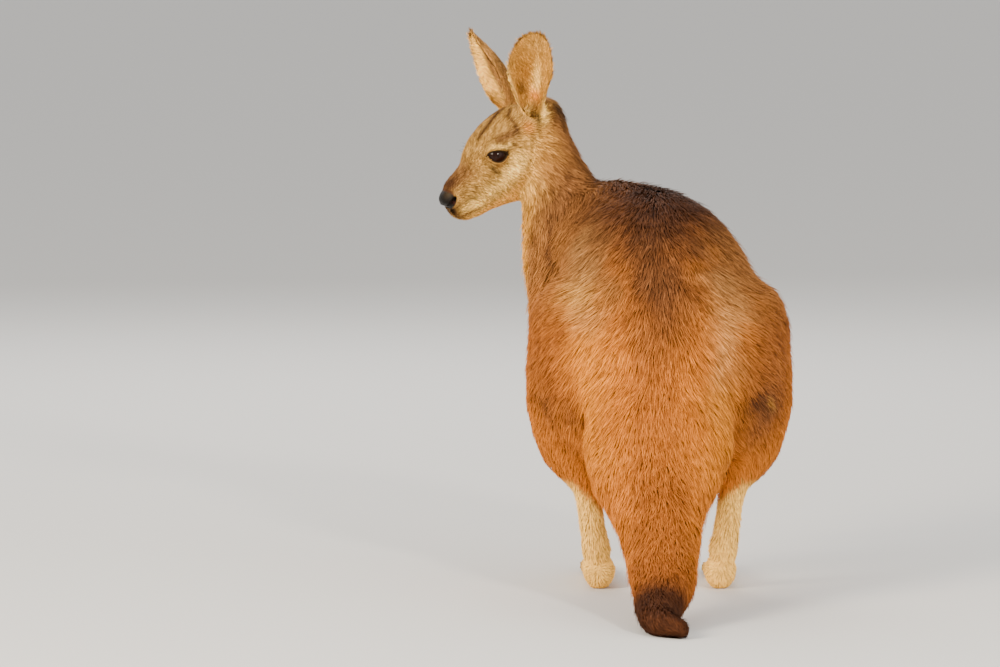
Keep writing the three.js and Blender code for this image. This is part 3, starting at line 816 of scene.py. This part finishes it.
def ear_marks(here, normals, owners):
    x, y, z = here.T
    left, right = (owners == "ear_left").astype(float), (owners == "ear_right").astype(float)
    inner = ramp(-0.1, 0.25, normals @ EARS["left"].opens) * left
    # the far ear shows its cream cup, darkened low down with painted shade, in front of a dark line of
    # painted shade along its rim, and its fawn back behind
    heights, fronts = [place[2] for place in FAR_RIM], [place[0] for place in FAR_RIM]
    cup = ramp(-1, 3, x - np.interp(z, heights, fronts)) * ramp(-330, -316, y) * right
    return [
        (0.9 * inner, EAR_CUP),
        (0.95 * cup, CREAM),
        (0.3 * cup * ramp(628, 606, z), BARK),
        (0.75 * streak(here * FLATTEN, FAR_RIM * FLATTEN, 3.2) * right, BARK),
        (0.5 * ramp(682, 696, z) * left * ramp(0.3, -0.3, normals[:, 1]), BARK),
        *told(here, NEAR_EAR_MARKS, left),
        *told(here, EAR_FOOT_MARKS),
    ]


def nose_marks(head):
    both, pad = folded(head), on_nose(head)
    return [
        (pad, NOSE_GREY),
        # a painted highlight on the top of the pad
        (0.6 * pad * spot(both, (148, 13, 2), (8, 8, 5)), NOSE_PAINTED_HIGHLIGHT),
        # painted shade in the nostril's opening
        (0.8 * pad * streak(both, NOSTRIL, 3.0), INK),
        (0.7 * spot(both, (153, 17, -11), (3, 4, 2)), NOSTRIL_RED),
    ]


def eye_marks(head):
    """A black rim, a pale bead along the lower lid, and a pale patch on the upper one."""
    marks = []
    for sign in (1, -1):
        distance, reach, up = lid_distance(head, sign)
        near = ((reach < EYE_AREA) & (distance < 12)).astype(float)
        marks += [
            (0.65 * near * hump(distance, LID_FOLD, 1.8) * ramp(4, 9, up), PALE),
            (0.95 * near * ramp(1.7, 1.0, distance), INK),
            (0.6 * near * (hump(distance, 1.0, 0.4) * ramp(0, -3, up)), BUFF),
        ]
    return marks


def coat_colours(places, normals, table, owners):
    """The markings, painted shade and painted highlights among them, the same for the skin and for the
    tufts that stand on it.
    """
    here, head = in_body(places), in_head(places)

    def share(kind):
        return table[:, KINDS.index(kind)]

    marks = body_marks(here, normals, share) + leg_marks(here, normals, share)
    marks += tail_marks(here, normals, share) + head_marks(head, share)
    marks += ear_marks(here, normals, owners) + eye_marks(head) + nose_marks(head)
    colours = table @ np.array([BASE_COLOURS[kind] for kind in KINDS])
    for mark, colour in marks:
        mark = np.clip(mark, 0, 1)[:, None]
        colours = colours * (1 - mark) + colour * mark
    return colours


def bareness(places):
    """1 where the skin has no hair: the nose pad, the lids' rims and the mouth's edge."""
    head = in_head(places)
    both = folded(head)
    bare = on_nose(head)
    bare = np.maximum(bare, ramp(0.3, 0.7, streak(both, MOUTH, 2.0)))
    bare = np.maximum(bare, ramp(0.3, 0.7, streak(both, NOSTRIL, 2.2)))
    for sign in (1, -1):
        distance, reach, _ = lid_distance(head, sign)
        bare = np.maximum(bare, np.where(reach < EYE_AREA, ramp(1.6, 0.9, distance), 0))
    return bare


def trimmed(places):
    """How long the hair is, for its region: short round the eyes, the mouth and the nose."""
    head = in_head(places)
    both = folded(head)
    keep = (1 - 0.7 * streak(both, MOUTH, 6)) * (1 - 0.6 * streak(in_body(places), EAR_BASE, 14))
    keep *= 1 - 0.5 * ramp(1.9, 1.1, np.linalg.norm((head - NOSE_PAD[0]) / NOSE_PAD[1], axis=1))
    for sign in (1, -1):
        distance, reach, _ = lid_distance(head, sign)
        keep *= np.where(reach < 26, 0.4 + 0.6 * ramp(1, 8, distance), 1)
    return keep


# ---------------------------------------------------------------- the skin itself


class Skin(NamedTuple):
    piece: bpy.types.Object
    places: np.ndarray
    normals: np.ndarray
    faces: np.ndarray
    table: np.ndarray
    owners: np.ndarray
    lie: np.ndarray
    bare: np.ndarray
    unwrap: np.ndarray
    tree: BVHTree


def unwrapped(skin):
    """An unwrap of the skin's own shape, as each face's three corners."""
    mesh = skin.data
    mesh.uv_layers.new(name="OFBake")
    bpy.context.view_layer.objects.active = skin
    skin.select_set(True)
    bpy.ops.object.mode_set(mode="EDIT")
    bpy.ops.mesh.select_all(action="SELECT")
    bpy.ops.uv.smart_project(angle_limit=math.radians(70), island_margin=0.001)
    bpy.ops.object.mode_set(mode="OBJECT")
    return read(mesh.uv_layers["OFBake"].data, "uv", 2).reshape(-1, 3, 2)


def shaped_skin():
    """One skin over all the flesh, with its creases filled and its facets smoothed away."""
    skin = finished_with(joined_flesh(), "REMESH", mode="VOXEL", voxel_size=VOXEL, adaptivity=0.0)
    thinned(skin, KEEP)
    table = relaxed(shares(owners_at(places_of(skin.data))), edges_of(skin.data), rounds=12)
    filled(skin, crease_weights(table, in_body(places_of(skin.data))), FILL_ROUNDS)
    softened(skin, measure(table, "soften"), SMOOTH_ROUNDS)
    thinned(skin, KEEP_SMOOTH)
    refined(skin)
    return skin


def make_skin():
    """The skin, sunk by the coat's depth, with the head's forms, the coat's lie and its markings."""
    skin = shaped_skin()
    owners = np.array(owners_at(places_of(skin.data)))
    edges = edges_of(skin.data)
    table = relaxed(shares(owners), edges, rounds=6)
    depth = relaxed(measure(table, "depth")[:, None], edges, rounds=25)[:, 0]
    put_places(skin.data, places_of(skin.data) - normals_of(skin.data) * depth[:, None] * MM)
    head_forms(skin)
    open_eyes(skin)
    places, normals = places_of(skin.data), normals_of(skin.data)
    colours = coat_colours(places, normals, table, owners)
    bare = bareness(places)
    lie = coat_lie(places, normals, owners, edges)
    unwrap = unwrapped(skin)
    faces = triangles_of(skin.data)
    tree = BVHTree.FromPolygons(list(map(Vector, places)), faces.tolist())
    add_attribute(skin.data, "markings", "FLOAT_COLOR", np.c_[colours, np.ones(len(colours))])
    add_attribute(skin.data, "bare", "FLOAT", bare)
    skin.data.shade_smooth()
    return Skin(skin, places, normals, faces, table, owners, lie, bare, unwrap, tree)


# ---------------------------------------------------------------- tufts

PATCH = 0.003  # how large a tuft's patch of the unwrap is
LONG_TUFT = 9.0  # tufts at least this long bend, shorter ones are plain spikes, mm
# A bent tuft is a leaf: its foot's two corners, its middle's two and their ridge, and its tip.
LEAF_FACES = [(0, 1, 4), (0, 4, 2), (1, 3, 4), (2, 4, 5), (4, 3, 5), (0, 2, 3), (0, 3, 1), (2, 5, 3)]
LEAF_PATCH = [(-0.5, -0.5), (0.5, -0.5), (-0.5, 0), (0.5, 0), (0, 0), (0, 0.5)]
# A spike has its foot's two corners and their ridge, and its tip.
SPIKE_FACES = [(0, 1, 2), (0, 3, 1), (1, 3, 2), (2, 3, 0)]
SPIKE_PATCH = [(-0.5, -0.5), (0.5, -0.5), (0, -0.5), (0, 0.5)]
RIDGE = 0.25  # a ridge's height for its tuft's width
ROUNDING = 0.45  # how far a tuft's sides turn its shading from the skin's
FOOT_DEPTH = 0.35 * MM  # how far under the skin a tuft starts
LOWEST = 0.4 * MM  # above the floor
# How light each corner is for its tuft: dark at the foot, partly the hair's own colour and partly painted
# shade deep in the coat, and light at the tip.
LEAF_SHADES, SPIKE_SHADES = (0.6, 0.6, 0.9, 0.9, 0.95, 1.4), (0.45, 0.45, 0.75, 1.35)
STRIPE = np.array([1.0, 0.8, 0.3])  # the coat's stripes of tone are this many times as fine each way
TINT_TURN = (0.9, 1.0, 1.15)  # a darker tuft is redder, and a lighter one paler
STRAYS, STRAY_LIFT = 0.07, 0.14  # the share of the tufts that stand up, and how far for their length
PEPPER, PEPPER_DARK = 0.13, 1.6  # the share of dark hairs, and how dark they are
# How much the tufts of a place vary, each by itself and in swells: their lie, length, width and lift.
LIE_EACH, LIE_SWELL = 0.1, 0.14
LENGTH_EACH, LENGTH_SWELL = 0.25, 0.12
LIFT_EACH, LIFT_SWELL = 0.35, 0.15
WIDTH_EACH = 0.25
TONE_EACH, TONE_CLUMP, TONE_STRIPE = 0.5, 0.8, 0.4
TONE_MIDDLE, TONE_LOW, TONE_HIGH = 0.15, -2.8, 1.8
CLUMP_TURN = np.array([[0.8, 0.6, 0], [-0.36, 0.48, 0.8], [0.48, -0.64, 0.6]])
CLUMP_KEYS, CLUMPS = (73856093, 19349663, 83492791), 8191  # primes that scatter a cell's numbers
MOST_TRIANGLES = 190000  # in one piece
TUFT_FILL = 0.5  # how much of its length times its width a tuft covers


class Roots(NamedTuple):
    """Where tufts stand: the face, the place in it, and what the skin is like there."""

    face: np.ndarray
    place: np.ndarray
    normal: np.ndarray
    lie: np.ndarray
    colour: np.ndarray
    unwrap: np.ndarray


def triangle_areas(places, faces):
    a, b, c = (places[faces[:, i]] for i in range(3))
    return np.linalg.norm(np.cross(b - a, c - a), axis=1) / 2


def sown(skin, density, rng):
    """Roots spread evenly over the skin, density of them to a square millimetre of each face."""
    expected = np.cumsum(triangle_areas(skin.places, skin.faces) / MM**2 * density)
    counts = np.diff(np.floor(np.concatenate([[0], expected]) + rng.uniform())).astype(int)
    face = np.repeat(np.arange(len(skin.faces)), counts)
    u, v = rng.uniform(size=(2, len(face)))
    over = u + v > 1
    u, v = np.where(over, 1 - u, u), np.where(over, 1 - v, v)
    weights = np.stack([1 - u - v, u, v], 1)[:, :, None]

    def mixed(values):
        return (values[skin.faces[face]] * weights).sum(1)

    unwrap = (skin.unwrap[face] * weights).sum(1)
    place, normal = mixed(skin.places), unit(mixed(skin.normals))
    owners = skin.owners[skin.faces[face, 0]]
    colour = coat_colours(place, normal, mixed(skin.table), owners)
    return Roots(face, place, normal, unit(mixed(skin.lie)), colour, unwrap)


def laid_over(skin, points, heights):
    """The points dropped onto the skin and raised to their heights, and the skin's way up there."""
    found = [skin.tree.find_nearest(point) for point in map(Vector, points)]
    normals = unit(skin.normals[skin.faces[[hit[2] for hit in found]]].mean(1))
    return np.array([hit[0] for hit in found]) + normals * heights[:, None], normals


def tuft_mesh(name, points, ways, face_plan, patch, unwrap, colours):
    """One mesh of many like tufts: their corners, the ways that these face, and their colours."""
    count, corners = len(unwrap), len(patch)
    places = np.stack(points, 1).reshape(-1, 3)
    places[:, 2] = np.maximum(places[:, 2], LOWEST)
    faces = (np.array(face_plan)[None] + np.arange(count)[:, None, None] * corners).reshape(-1, 3)
    mesh = bpy.data.meshes.new(name)
    mesh.vertices.add(len(places))
    mesh.vertices.foreach_set("co", places.astype(np.float32).ravel())
    mesh.loops.add(faces.size)
    mesh.loops.foreach_set("vertex_index", faces.astype(np.int32).ravel())
    mesh.polygons.add(len(faces))
    mesh.polygons.foreach_set("loop_start", np.arange(0, faces.size, 3, dtype=np.int32))
    mesh.update(calc_edges=True)
    flat = (unwrap[:, None] + np.array(patch)[None] * PATCH).reshape(-1, 2)
    layer = mesh.uv_layers.new(name="OFBake")
    layer.data.foreach_set("uv", flat[faces.ravel()].astype(np.float32).ravel())
    tints = np.concatenate([colours, np.ones((*colours.shape[:2], 1))], 2).reshape(-1, 4)
    add_attribute(mesh, "markings", "FLOAT_COLOR", tints)
    mesh.shade_smooth()
    mesh.normals_split_custom_set_from_vertices(unit(np.stack(ways, 1)).reshape(-1, 3))
    return new_object(name, mesh)


def clumped(place, size, rng):
    """One random number for all the tufts of a clump, about a size across."""
    cells = np.floor(place @ CLUMP_TURN / size + rng.normal(0, 0.2, place.shape)).astype(np.int64)
    return rng.normal(size=CLUMPS)[(cells @ CLUMP_KEYS) % CLUMPS]


def toned(place, like, rng):
    """How much lighter or darker than its marking each tuft is."""
    stripes = 0.55 * ripple(place * STRIPE, size=7, seed=14) + 0.45 * ripple(place, size=22, seed=15)
    each, clump = rng.normal(size=len(place)), clumped(place, like.clump, rng)
    tone = TONE_EACH * each + TONE_CLUMP * clump + TONE_STRIPE * stripes
    tone = tone + TONE_MIDDLE - PEPPER_DARK * (rng.uniform(size=len(place)) < PEPPER)
    return np.exp(like.tone * np.clip(tone, TONE_LOW, TONE_HIGH))[:, None]


def grown(name, skin, roots, length, width, lift, rng, like):
    """Tufts that follow the lie of the coat and bend over the skin, or plain spikes where short."""
    count = len(roots.place)
    place = roots.place / MM
    swirl = ripple(place, size=45, seed=11)[:, None] * LIE_SWELL + rng.normal(0, LIE_EACH, (count, 1))
    up = roots.normal
    lie = unit(roots.lie + np.cross(roots.lie, up) * swirl)
    side = np.cross(lie, up)
    swell = LENGTH_SWELL * ripple(place, size=30, seed=12)
    length = length * (1 + LENGTH_EACH * rng.uniform(-1, 1, count) + swell)
    swell = LIFT_SWELL * ripple(place, size=26, seed=13)
    lift = lift * (1 + LIFT_EACH * rng.uniform(-1, 1, count) + swell)
    lift = lift + STRAY_LIFT * length * (rng.uniform(size=count) < STRAYS)
    half = side * (width * rng.uniform(1 - WIDTH_EACH, 1 + WIDTH_EACH, count) / 2)[:, None]
    ridge = RIDGE * width[:, None]
    foot = roots.place - up * (FOOT_DEPTH + 0.25 * width)[:, None]
    tips, tip_up = roots.place + lie * length[:, None], up
    if like.loose:
        tips = tips + up * lift[:, None]
    else:
        tips, tip_up = laid_over(skin, tips, lift)
    colour = roots.colour * toned(place, like, rng) ** TINT_TURN
    left, right = unit(up - side * ROUNDING), unit(up + side * ROUNDING)
    if length.mean() > LONG_TUFT * MM:
        bow = ((tip_up - up) * lie).sum(1) * length / 8 + 0.12 * lift
        centre = (roots.place + tips) / 2 + up * bow[:, None]
        points = [foot - half * 0.8, foot + half * 0.8, centre - half, centre + half]
        points += [centre + up * ridge, tips]
        ways = [left, right, left, right, up, tip_up]
        colours = colour[:, None] * np.array(LEAF_SHADES)[None, :, None]
        return tuft_mesh(name, points, ways, LEAF_FACES, LEAF_PATCH, roots.unwrap, colours)
    points = [foot - half, foot + half, foot + up * ridge * 1.4, tips]
    colours = colour[:, None] * np.array(SPIKE_SHADES)[None, :, None]
    ways = [left, right, up, tip_up]
    return tuft_mesh(name, points, ways, SPIKE_FACES, SPIKE_PATCH, roots.unwrap, colours)


class Piece(NamedTuple):
    """Which regions' tufts make up one piece of the coat, and what they are like."""

    kinds: tuple
    tone: float  # how much the tufts' tones vary
    clump: float  # how far across the tufts keep one tone, mm
    loose: bool = False  # whether their tips stand free past an edge


COAT_PIECES = {
    "coat_trunk": Piece(("torso",), 0.3, 4.5),
    "coat_neck": Piece(("neck",), 0.34, 4.0),
    "coat_thighs": Piece(("thigh",), 0.25, 4.5),
    "coat_tail": Piece(("tail_base", "tail_middle", "tail_end"), 0.22, 4.5),
    "coat_arms": Piece(("upper_arm", "forearm"), 0.25, 4.0),
    "coat_legs": Piece(("shank", "foot"), 0.12, 3.0),
    "coat_hands": Piece(("hand",), 0.14, 2.0),
    "coat_head": Piece(("head", "nose"), 0.6, 1.4),
    "coat_ears": Piece(("ear",), 0.55, 1.4, loose=True),
}
THIN_OUT = 1.0  # the share of the tufts that is grown


def grow_coat(skin):
    """Every region's tufts, in pieces that each stay under the most triangles."""
    pieces = []
    owner_kinds = np.array([KINDS.index(kind_of(owner)) for owner in skin.owners.tolist()])
    face_kind = owner_kinds[skin.faces[:, 0]]
    hairy = 1 - skin.bare[skin.faces].max(1)
    lengths, widths = measure(skin.table, "length"), measure(skin.table, "width")
    depths, covers = measure(skin.table, "depth"), measure(skin.table, "cover")
    for seed, (name, like) in enumerate(COAT_PIECES.items(), 21):
        rng = np.random.default_rng(seed)
        mine = np.isin(face_kind, [KINDS.index(kind) for kind in like.kinds])
        length, width = (v[skin.faces].mean(1) for v in (lengths, widths))
        cover = covers[skin.faces].mean(1)
        density = np.where(mine & (hairy > 0.5), THIN_OUT * cover / (TUFT_FILL * length * width), 0)
        roots = sown(skin, density, rng)
        bent = length[roots.face].mean() > LONG_TUFT
        most = MOST_TRIANGLES // (len(LEAF_FACES) if bent else len(SPIKE_FACES))
        parts = max(1, math.ceil(len(roots.place) / most))
        order = np.argsort(roots.place[:, 2], kind="stable")
        for number, chosen in enumerate(np.array_split(order, parts), 1):
            some = Roots(*(values[chosen] for values in roots))
            at = some.face
            label = f"{name}_{number}" if parts > 1 else name
            lift = depths[skin.faces].mean(1)[at] * MM
            reach = length[at] * trimmed(some.place) * MM
            pieces.append(grown(label, skin, some, reach, width[at] * MM, lift, rng, like))
    return pieces


WHISKER_WIDTH = 0.45
WHISKER_LONG, BROW_HAIR_LONG, LASH_LONG = 34, 14, 7.5
BROW_HAIRS = [(88, 30, 24), (84, 33, 25), (79, 34, 26), (92, 27, 22)]


def stiff_hairs():
    """Where each whisker, brow hair and lash starts, the way that it points and its length, on the left."""
    hairs = [((ahead, 22, high), (-0.35, 0.55, -0.3), WHISKER_LONG) for ahead, high in WHISKER_ROOTS]
    hairs += [(place, (0.2, 0.55, 0.6), BROW_HAIR_LONG) for place in BROW_HAIRS]
    along, up, out = eye_frame(1)
    for step in np.linspace(-8, 8, 9):
        root = EYE_CENTRE + along * (step - LID_SHIFT[0]) + up * 6.5 + out * 14.5
        hairs.append((root, out + 0.5 * up + 0.05 * step * along, LASH_LONG))
    return hairs


def grow_whiskers(skin):
    rng = np.random.default_rng(7)
    starts, ways, lengths, unwrap = [], [], [], []
    for place, way, length in stiff_hairs():
        for sign in (1, -1):
            hit = skin.tree.find_nearest(Vector(from_head(sided(place, sign))))
            starts.append(hit[0] - hit[1] * MM)
            unwrap.append(skin.unwrap[hit[2]].mean(0))
            ways.append(unit(sided(unit(np.array(way)), sign) + rng.normal(0, 0.12, 3)) @ HEAD)
            lengths.append(length * rng.uniform(0.8, 1.2) * MM)
    starts, ways, lengths = np.array(starts), np.array(ways), np.array(lengths)[:, None]
    side = unit(np.cross(ways, HEAD[2])) * WHISKER_WIDTH * MM / 2
    up = unit(np.cross(side, ways))
    middle_at = starts + ways * lengths / 2
    tips = starts + ways * lengths - HEAD[2] * lengths * 0.15
    points = [starts - side, starts + side, middle_at - side * 0.7, middle_at + side * 0.7]
    points += [middle_at + up * WHISKER_WIDTH * MM / 2, tips]
    colours = np.tile(SOOT, (len(starts), 6, 1))
    return tuft_mesh("coat_whiskers", points, [up] * 6, LEAF_FACES, LEAF_PATCH, np.array(unwrap), colours)


# ---------------------------------------------------------------- eyes and claws


def make_eye(side):
    """An eyeball with its clear front swelling out a little."""
    sign = 1 if side == "left" else -1
    bm = bmesh.new()
    bmesh.ops.create_uvsphere(bm, u_segments=48, v_segments=32, radius=(EYEBALL - 0.1) * MM)
    frame_rows = eye_frame(sign) @ HEAD
    turn = Matrix([[*frame_rows[:, i]] for i in range(3)]).to_4x4()
    centre = Vector(from_head(sided(EYE_CENTRE, sign)))
    for vert in bm.verts:
        front = vert.co.z / (EYEBALL * MM)
        vert.co.z += CORNEA * MM * max(0.0, front - CORNEA_FROM) / (1 - CORNEA_FROM)
    bmesh.ops.transform(bm, matrix=Matrix.Translation(centre) @ turn, verts=bm.verts)
    bmesh.ops.recalc_face_normals(bm, faces=bm.faces)
    return from_bmesh(f"eyeball_{side}", bm)


def make_claw(node):
    """The claw's own solid, rounded."""
    bm = bmesh.new()
    bm.from_mesh(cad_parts[node].data)
    bmesh.ops.remove_doubles(bm, verts=bm.verts, dist=WELD)
    bmesh.ops.recalc_face_normals(bm, faces=bm.faces)
    piece = from_bmesh(node.replace("claw", "nail"), bm)
    return finished_with(piece, "SUBSURF", levels=2, render_levels=2)


# ---------------------------------------------------------------- materials


class Value:
    """A shader socket, whose arithmetic adds Math nodes."""

    def __init__(self, finish, socket):
        self.finish, self.socket = finish, socket

    def math(self, operation, first, second):
        return self.finish.node("ShaderNodeMath", {"operation": operation}, {0: first, 1: second})

    def __add__(self, other):
        return self.math("ADD", self, other)

    def __sub__(self, other):
        return self.math("SUBTRACT", self, other)

    def __rsub__(self, other):
        return self.math("SUBTRACT", other, self)

    def __mul__(self, other):
        return self.math("MULTIPLY", self, other)

    __radd__ = __add__
    __rmul__ = __mul__


class Finish:
    """One material: its nodes, and the shader that they feed."""

    def __init__(self, name, **constants):
        self.material = bpy.data.materials.new(name)
        self.material.use_nodes = True
        self.tree = self.material.node_tree
        self.shader = self.tree.nodes["Principled BSDF"]
        for socket, value in constants.items():
            self.shader.inputs[socket.replace("_", " ")].default_value = value

    def node(self, kind, settings, sockets, output=0):
        """A node of a kind, its settings first, then its sockets' values or links."""
        made = self.tree.nodes.new(kind)
        for key, value in settings.items():
            setattr(made, key, value)
        for socket, value in sockets.items():
            self.feed(made.inputs[socket], value)
        return Value(self, made.outputs[output])

    def feed(self, socket, value):
        if isinstance(value, Value):
            self.tree.links.new(value.socket, socket)
        else:
            socket.default_value = value

    def surface(self, **links):
        for socket, value in links.items():
            self.feed(self.shader.inputs[socket.replace("_", " ")], value)
        return self.material

    def attribute(self, name, output):
        return self.node("ShaderNodeAttribute", {"attribute_name": name}, {}, output)

    def place(self):
        return self.node("ShaderNodeTexCoord", {}, {}, "Object")

    def noise(self, scale, detail=3.0):
        sockets = {"Vector": self.place(), "Scale": scale, "Detail": detail}
        return self.node("ShaderNodeTexNoise", {}, sockets, "Fac")

    def mixed(self, share, first, second, blend="MIX"):
        """A colour between two, or one blended over the other."""
        settings = {"data_type": "RGBA", "blend_type": blend}
        return self.node("ShaderNodeMix", settings, {"Factor": share, 6: first, 7: second}, 2)

    def bumps(self, height, distance, strength=1.0):
        sockets = {"Height": height, "Distance": distance, "Strength": strength}
        return self.node("ShaderNodeBump", {}, sockets)


def coat_finish():
    """Hair: its markings, a fine change of tone, and a soft gloss."""
    finish = Finish("coat", Roughness=0.7, Specular_IOR_Level=0.1)
    markings = finish.attribute("markings", "Color")
    fine = finish.noise(420, 2.0)
    shade = finish.node("ShaderNodeMapRange", {}, {"Value": fine, "To Min": 0.82, "To Max": 1.16})
    tinted = finish.mixed(1.0, markings, shade, "MULTIPLY")
    return finish.surface(Base_Color=tinted, Normal=finish.bumps(finish.noise(1600, 2.0), 0.00025))


def skin_finish():
    """Short hair over skin, and bare pebbled skin at the nose, the lids and the lips."""
    finish = Finish("skin", Specular_IOR_Level=0.12)
    markings = finish.attribute("markings", "Color")
    bare = finish.attribute("bare", "Fac")
    fine = finish.noise(700, 3.0)
    shade = finish.node("ShaderNodeMapRange", {}, {"Value": fine, "To Min": 0.78, "To Max": 1.06})
    tinted = finish.mixed(1.0, markings, shade, "MULTIPLY")
    grains = {"Vector": finish.place(), "Scale": 900.0, "Smoothness": 0.6}
    pebbles = finish.node("ShaderNodeTexVoronoi", {"feature": "SMOOTH_F1"}, grains)
    height = bare * (1 - pebbles) + (1 - bare) * finish.noise(1100, 3.0)
    rough = 0.75 - 0.33 * bare
    return finish.surface(Base_Color=tinted, Roughness=rough, Normal=finish.bumps(height, 0.0005, 0.8))


def eye_finish():
    """Dark red-brown, under a clear wet front."""
    finish = Finish("eye", Roughness=0.05, Specular_IOR_Level=0.18, IOR=1.38)
    brown = finish.mixed(finish.noise(260, 3.0), (0.004, 0.002, 0.0015, 1), (0.022, 0.006, 0.003, 1))
    return finish.surface(Base_Color=brown)


def claw_finish():
    finish = Finish("claw", Roughness=0.34, Coat_Weight=0.3, Coat_Roughness=0.2)
    grain = finish.noise(300, 4.0)
    colour = finish.mixed(grain, (0.008, 0.007, 0.006, 1), (0.05, 0.04, 0.032, 1))
    return finish.surface(Base_Color=colour, Normal=finish.bumps(finish.noise(900, 3.0), 0.0002))


# ---------------------------------------------------------------- the room

VIEW_DIP = math.radians(5)
CAMERA_AT = (203.2, 8937.4, 1108.9)  # body frame, mm
LENS, FILM = 255.1, 36.0


def add_camera():
    camera = bpy.data.objects.new("camera", bpy.data.cameras.new("camera"))
    bpy.context.scene.collection.objects.link(camera)
    camera.data.lens, camera.data.sensor_width = LENS, FILM
    camera.data.clip_end = 200
    camera.location = Vector(BODY_AT + np.array(CAMERA_AT) * MM)
    camera.rotation_euler = (math.radians(90) - VIEW_DIP, 0, math.radians(180))
    bpy.context.scene.camera = camera


def add_floor():
    bm = bmesh.new()
    bmesh.ops.create_grid(bm, x_segments=2, y_segments=2, size=60)
    floor = from_bmesh("floor", bm)
    finish = Finish("floor", Roughness=0.9)
    finish.surface(Base_Color=(0.66, 0.65, 0.635, 1))
    floor.data.materials.append(finish.material)


def add_light(name, place, size, power, colour):
    light = bpy.data.objects.new(name, bpy.data.lights.new(name, "AREA"))
    bpy.context.scene.collection.objects.link(light)
    light.data.size, light.data.energy, light.data.color = size, power, colour
    light.location = Vector(place)
    light.rotation_euler = (Vector((0, 0, 0.35)) - light.location).to_track_quat("-Z", "Y").to_euler()


def add_studio():
    add_light("key", (3.0, 2.7, 2.2), 1.6, 300, (1.0, 0.88, 0.7))
    add_light("fill", (-3.2, 2.4, 1.6), 2.6, 45, (1.0, 0.95, 0.88))
    add_light("catch", (-1.45, 3.4, 1.85), 0.4, 120, (1.0, 0.93, 0.82))
    add_light("back", (0.5, -3.2, 2.6), 2.2, 90, (1.0, 0.98, 0.95))
    world = bpy.data.worlds.new("studio")
    world.use_nodes = True
    world.node_tree.nodes["Background"].inputs["Color"].default_value = (0.9, 0.89, 0.87, 1)
    world.node_tree.nodes["Background"].inputs["Strength"].default_value = 1.0
    bpy.context.scene.world = world


# ---------------------------------------------------------------- putting it together


def dress(piece, finish, nodes=()):
    piece.data.materials.append(finish)
    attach(piece, "root")
    if nodes:
        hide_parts(*nodes)


SLOTS = {"head": "face_coat", "whiskers": "face_coat", "ears": "ear_coat", "legs": "leg_coat"}
SLOTS |= {"hands": "hand_coat"}


def build():
    add_camera()
    skin = make_skin()
    dress(skin.piece, skin_finish(), FLESH)
    hair = coat_finish()
    for piece in [*grow_coat(skin), grow_whiskers(skin)]:
        dress(piece, hair)
    glass = eye_finish()
    for side in SIDES:
        dress(make_eye(side), glass, [f"eye_{side}"])
    horn = claw_finish()
    for node in CLAWS:
        dress(make_claw(node), horn, [node])
    add_floor()
    add_studio()


build()
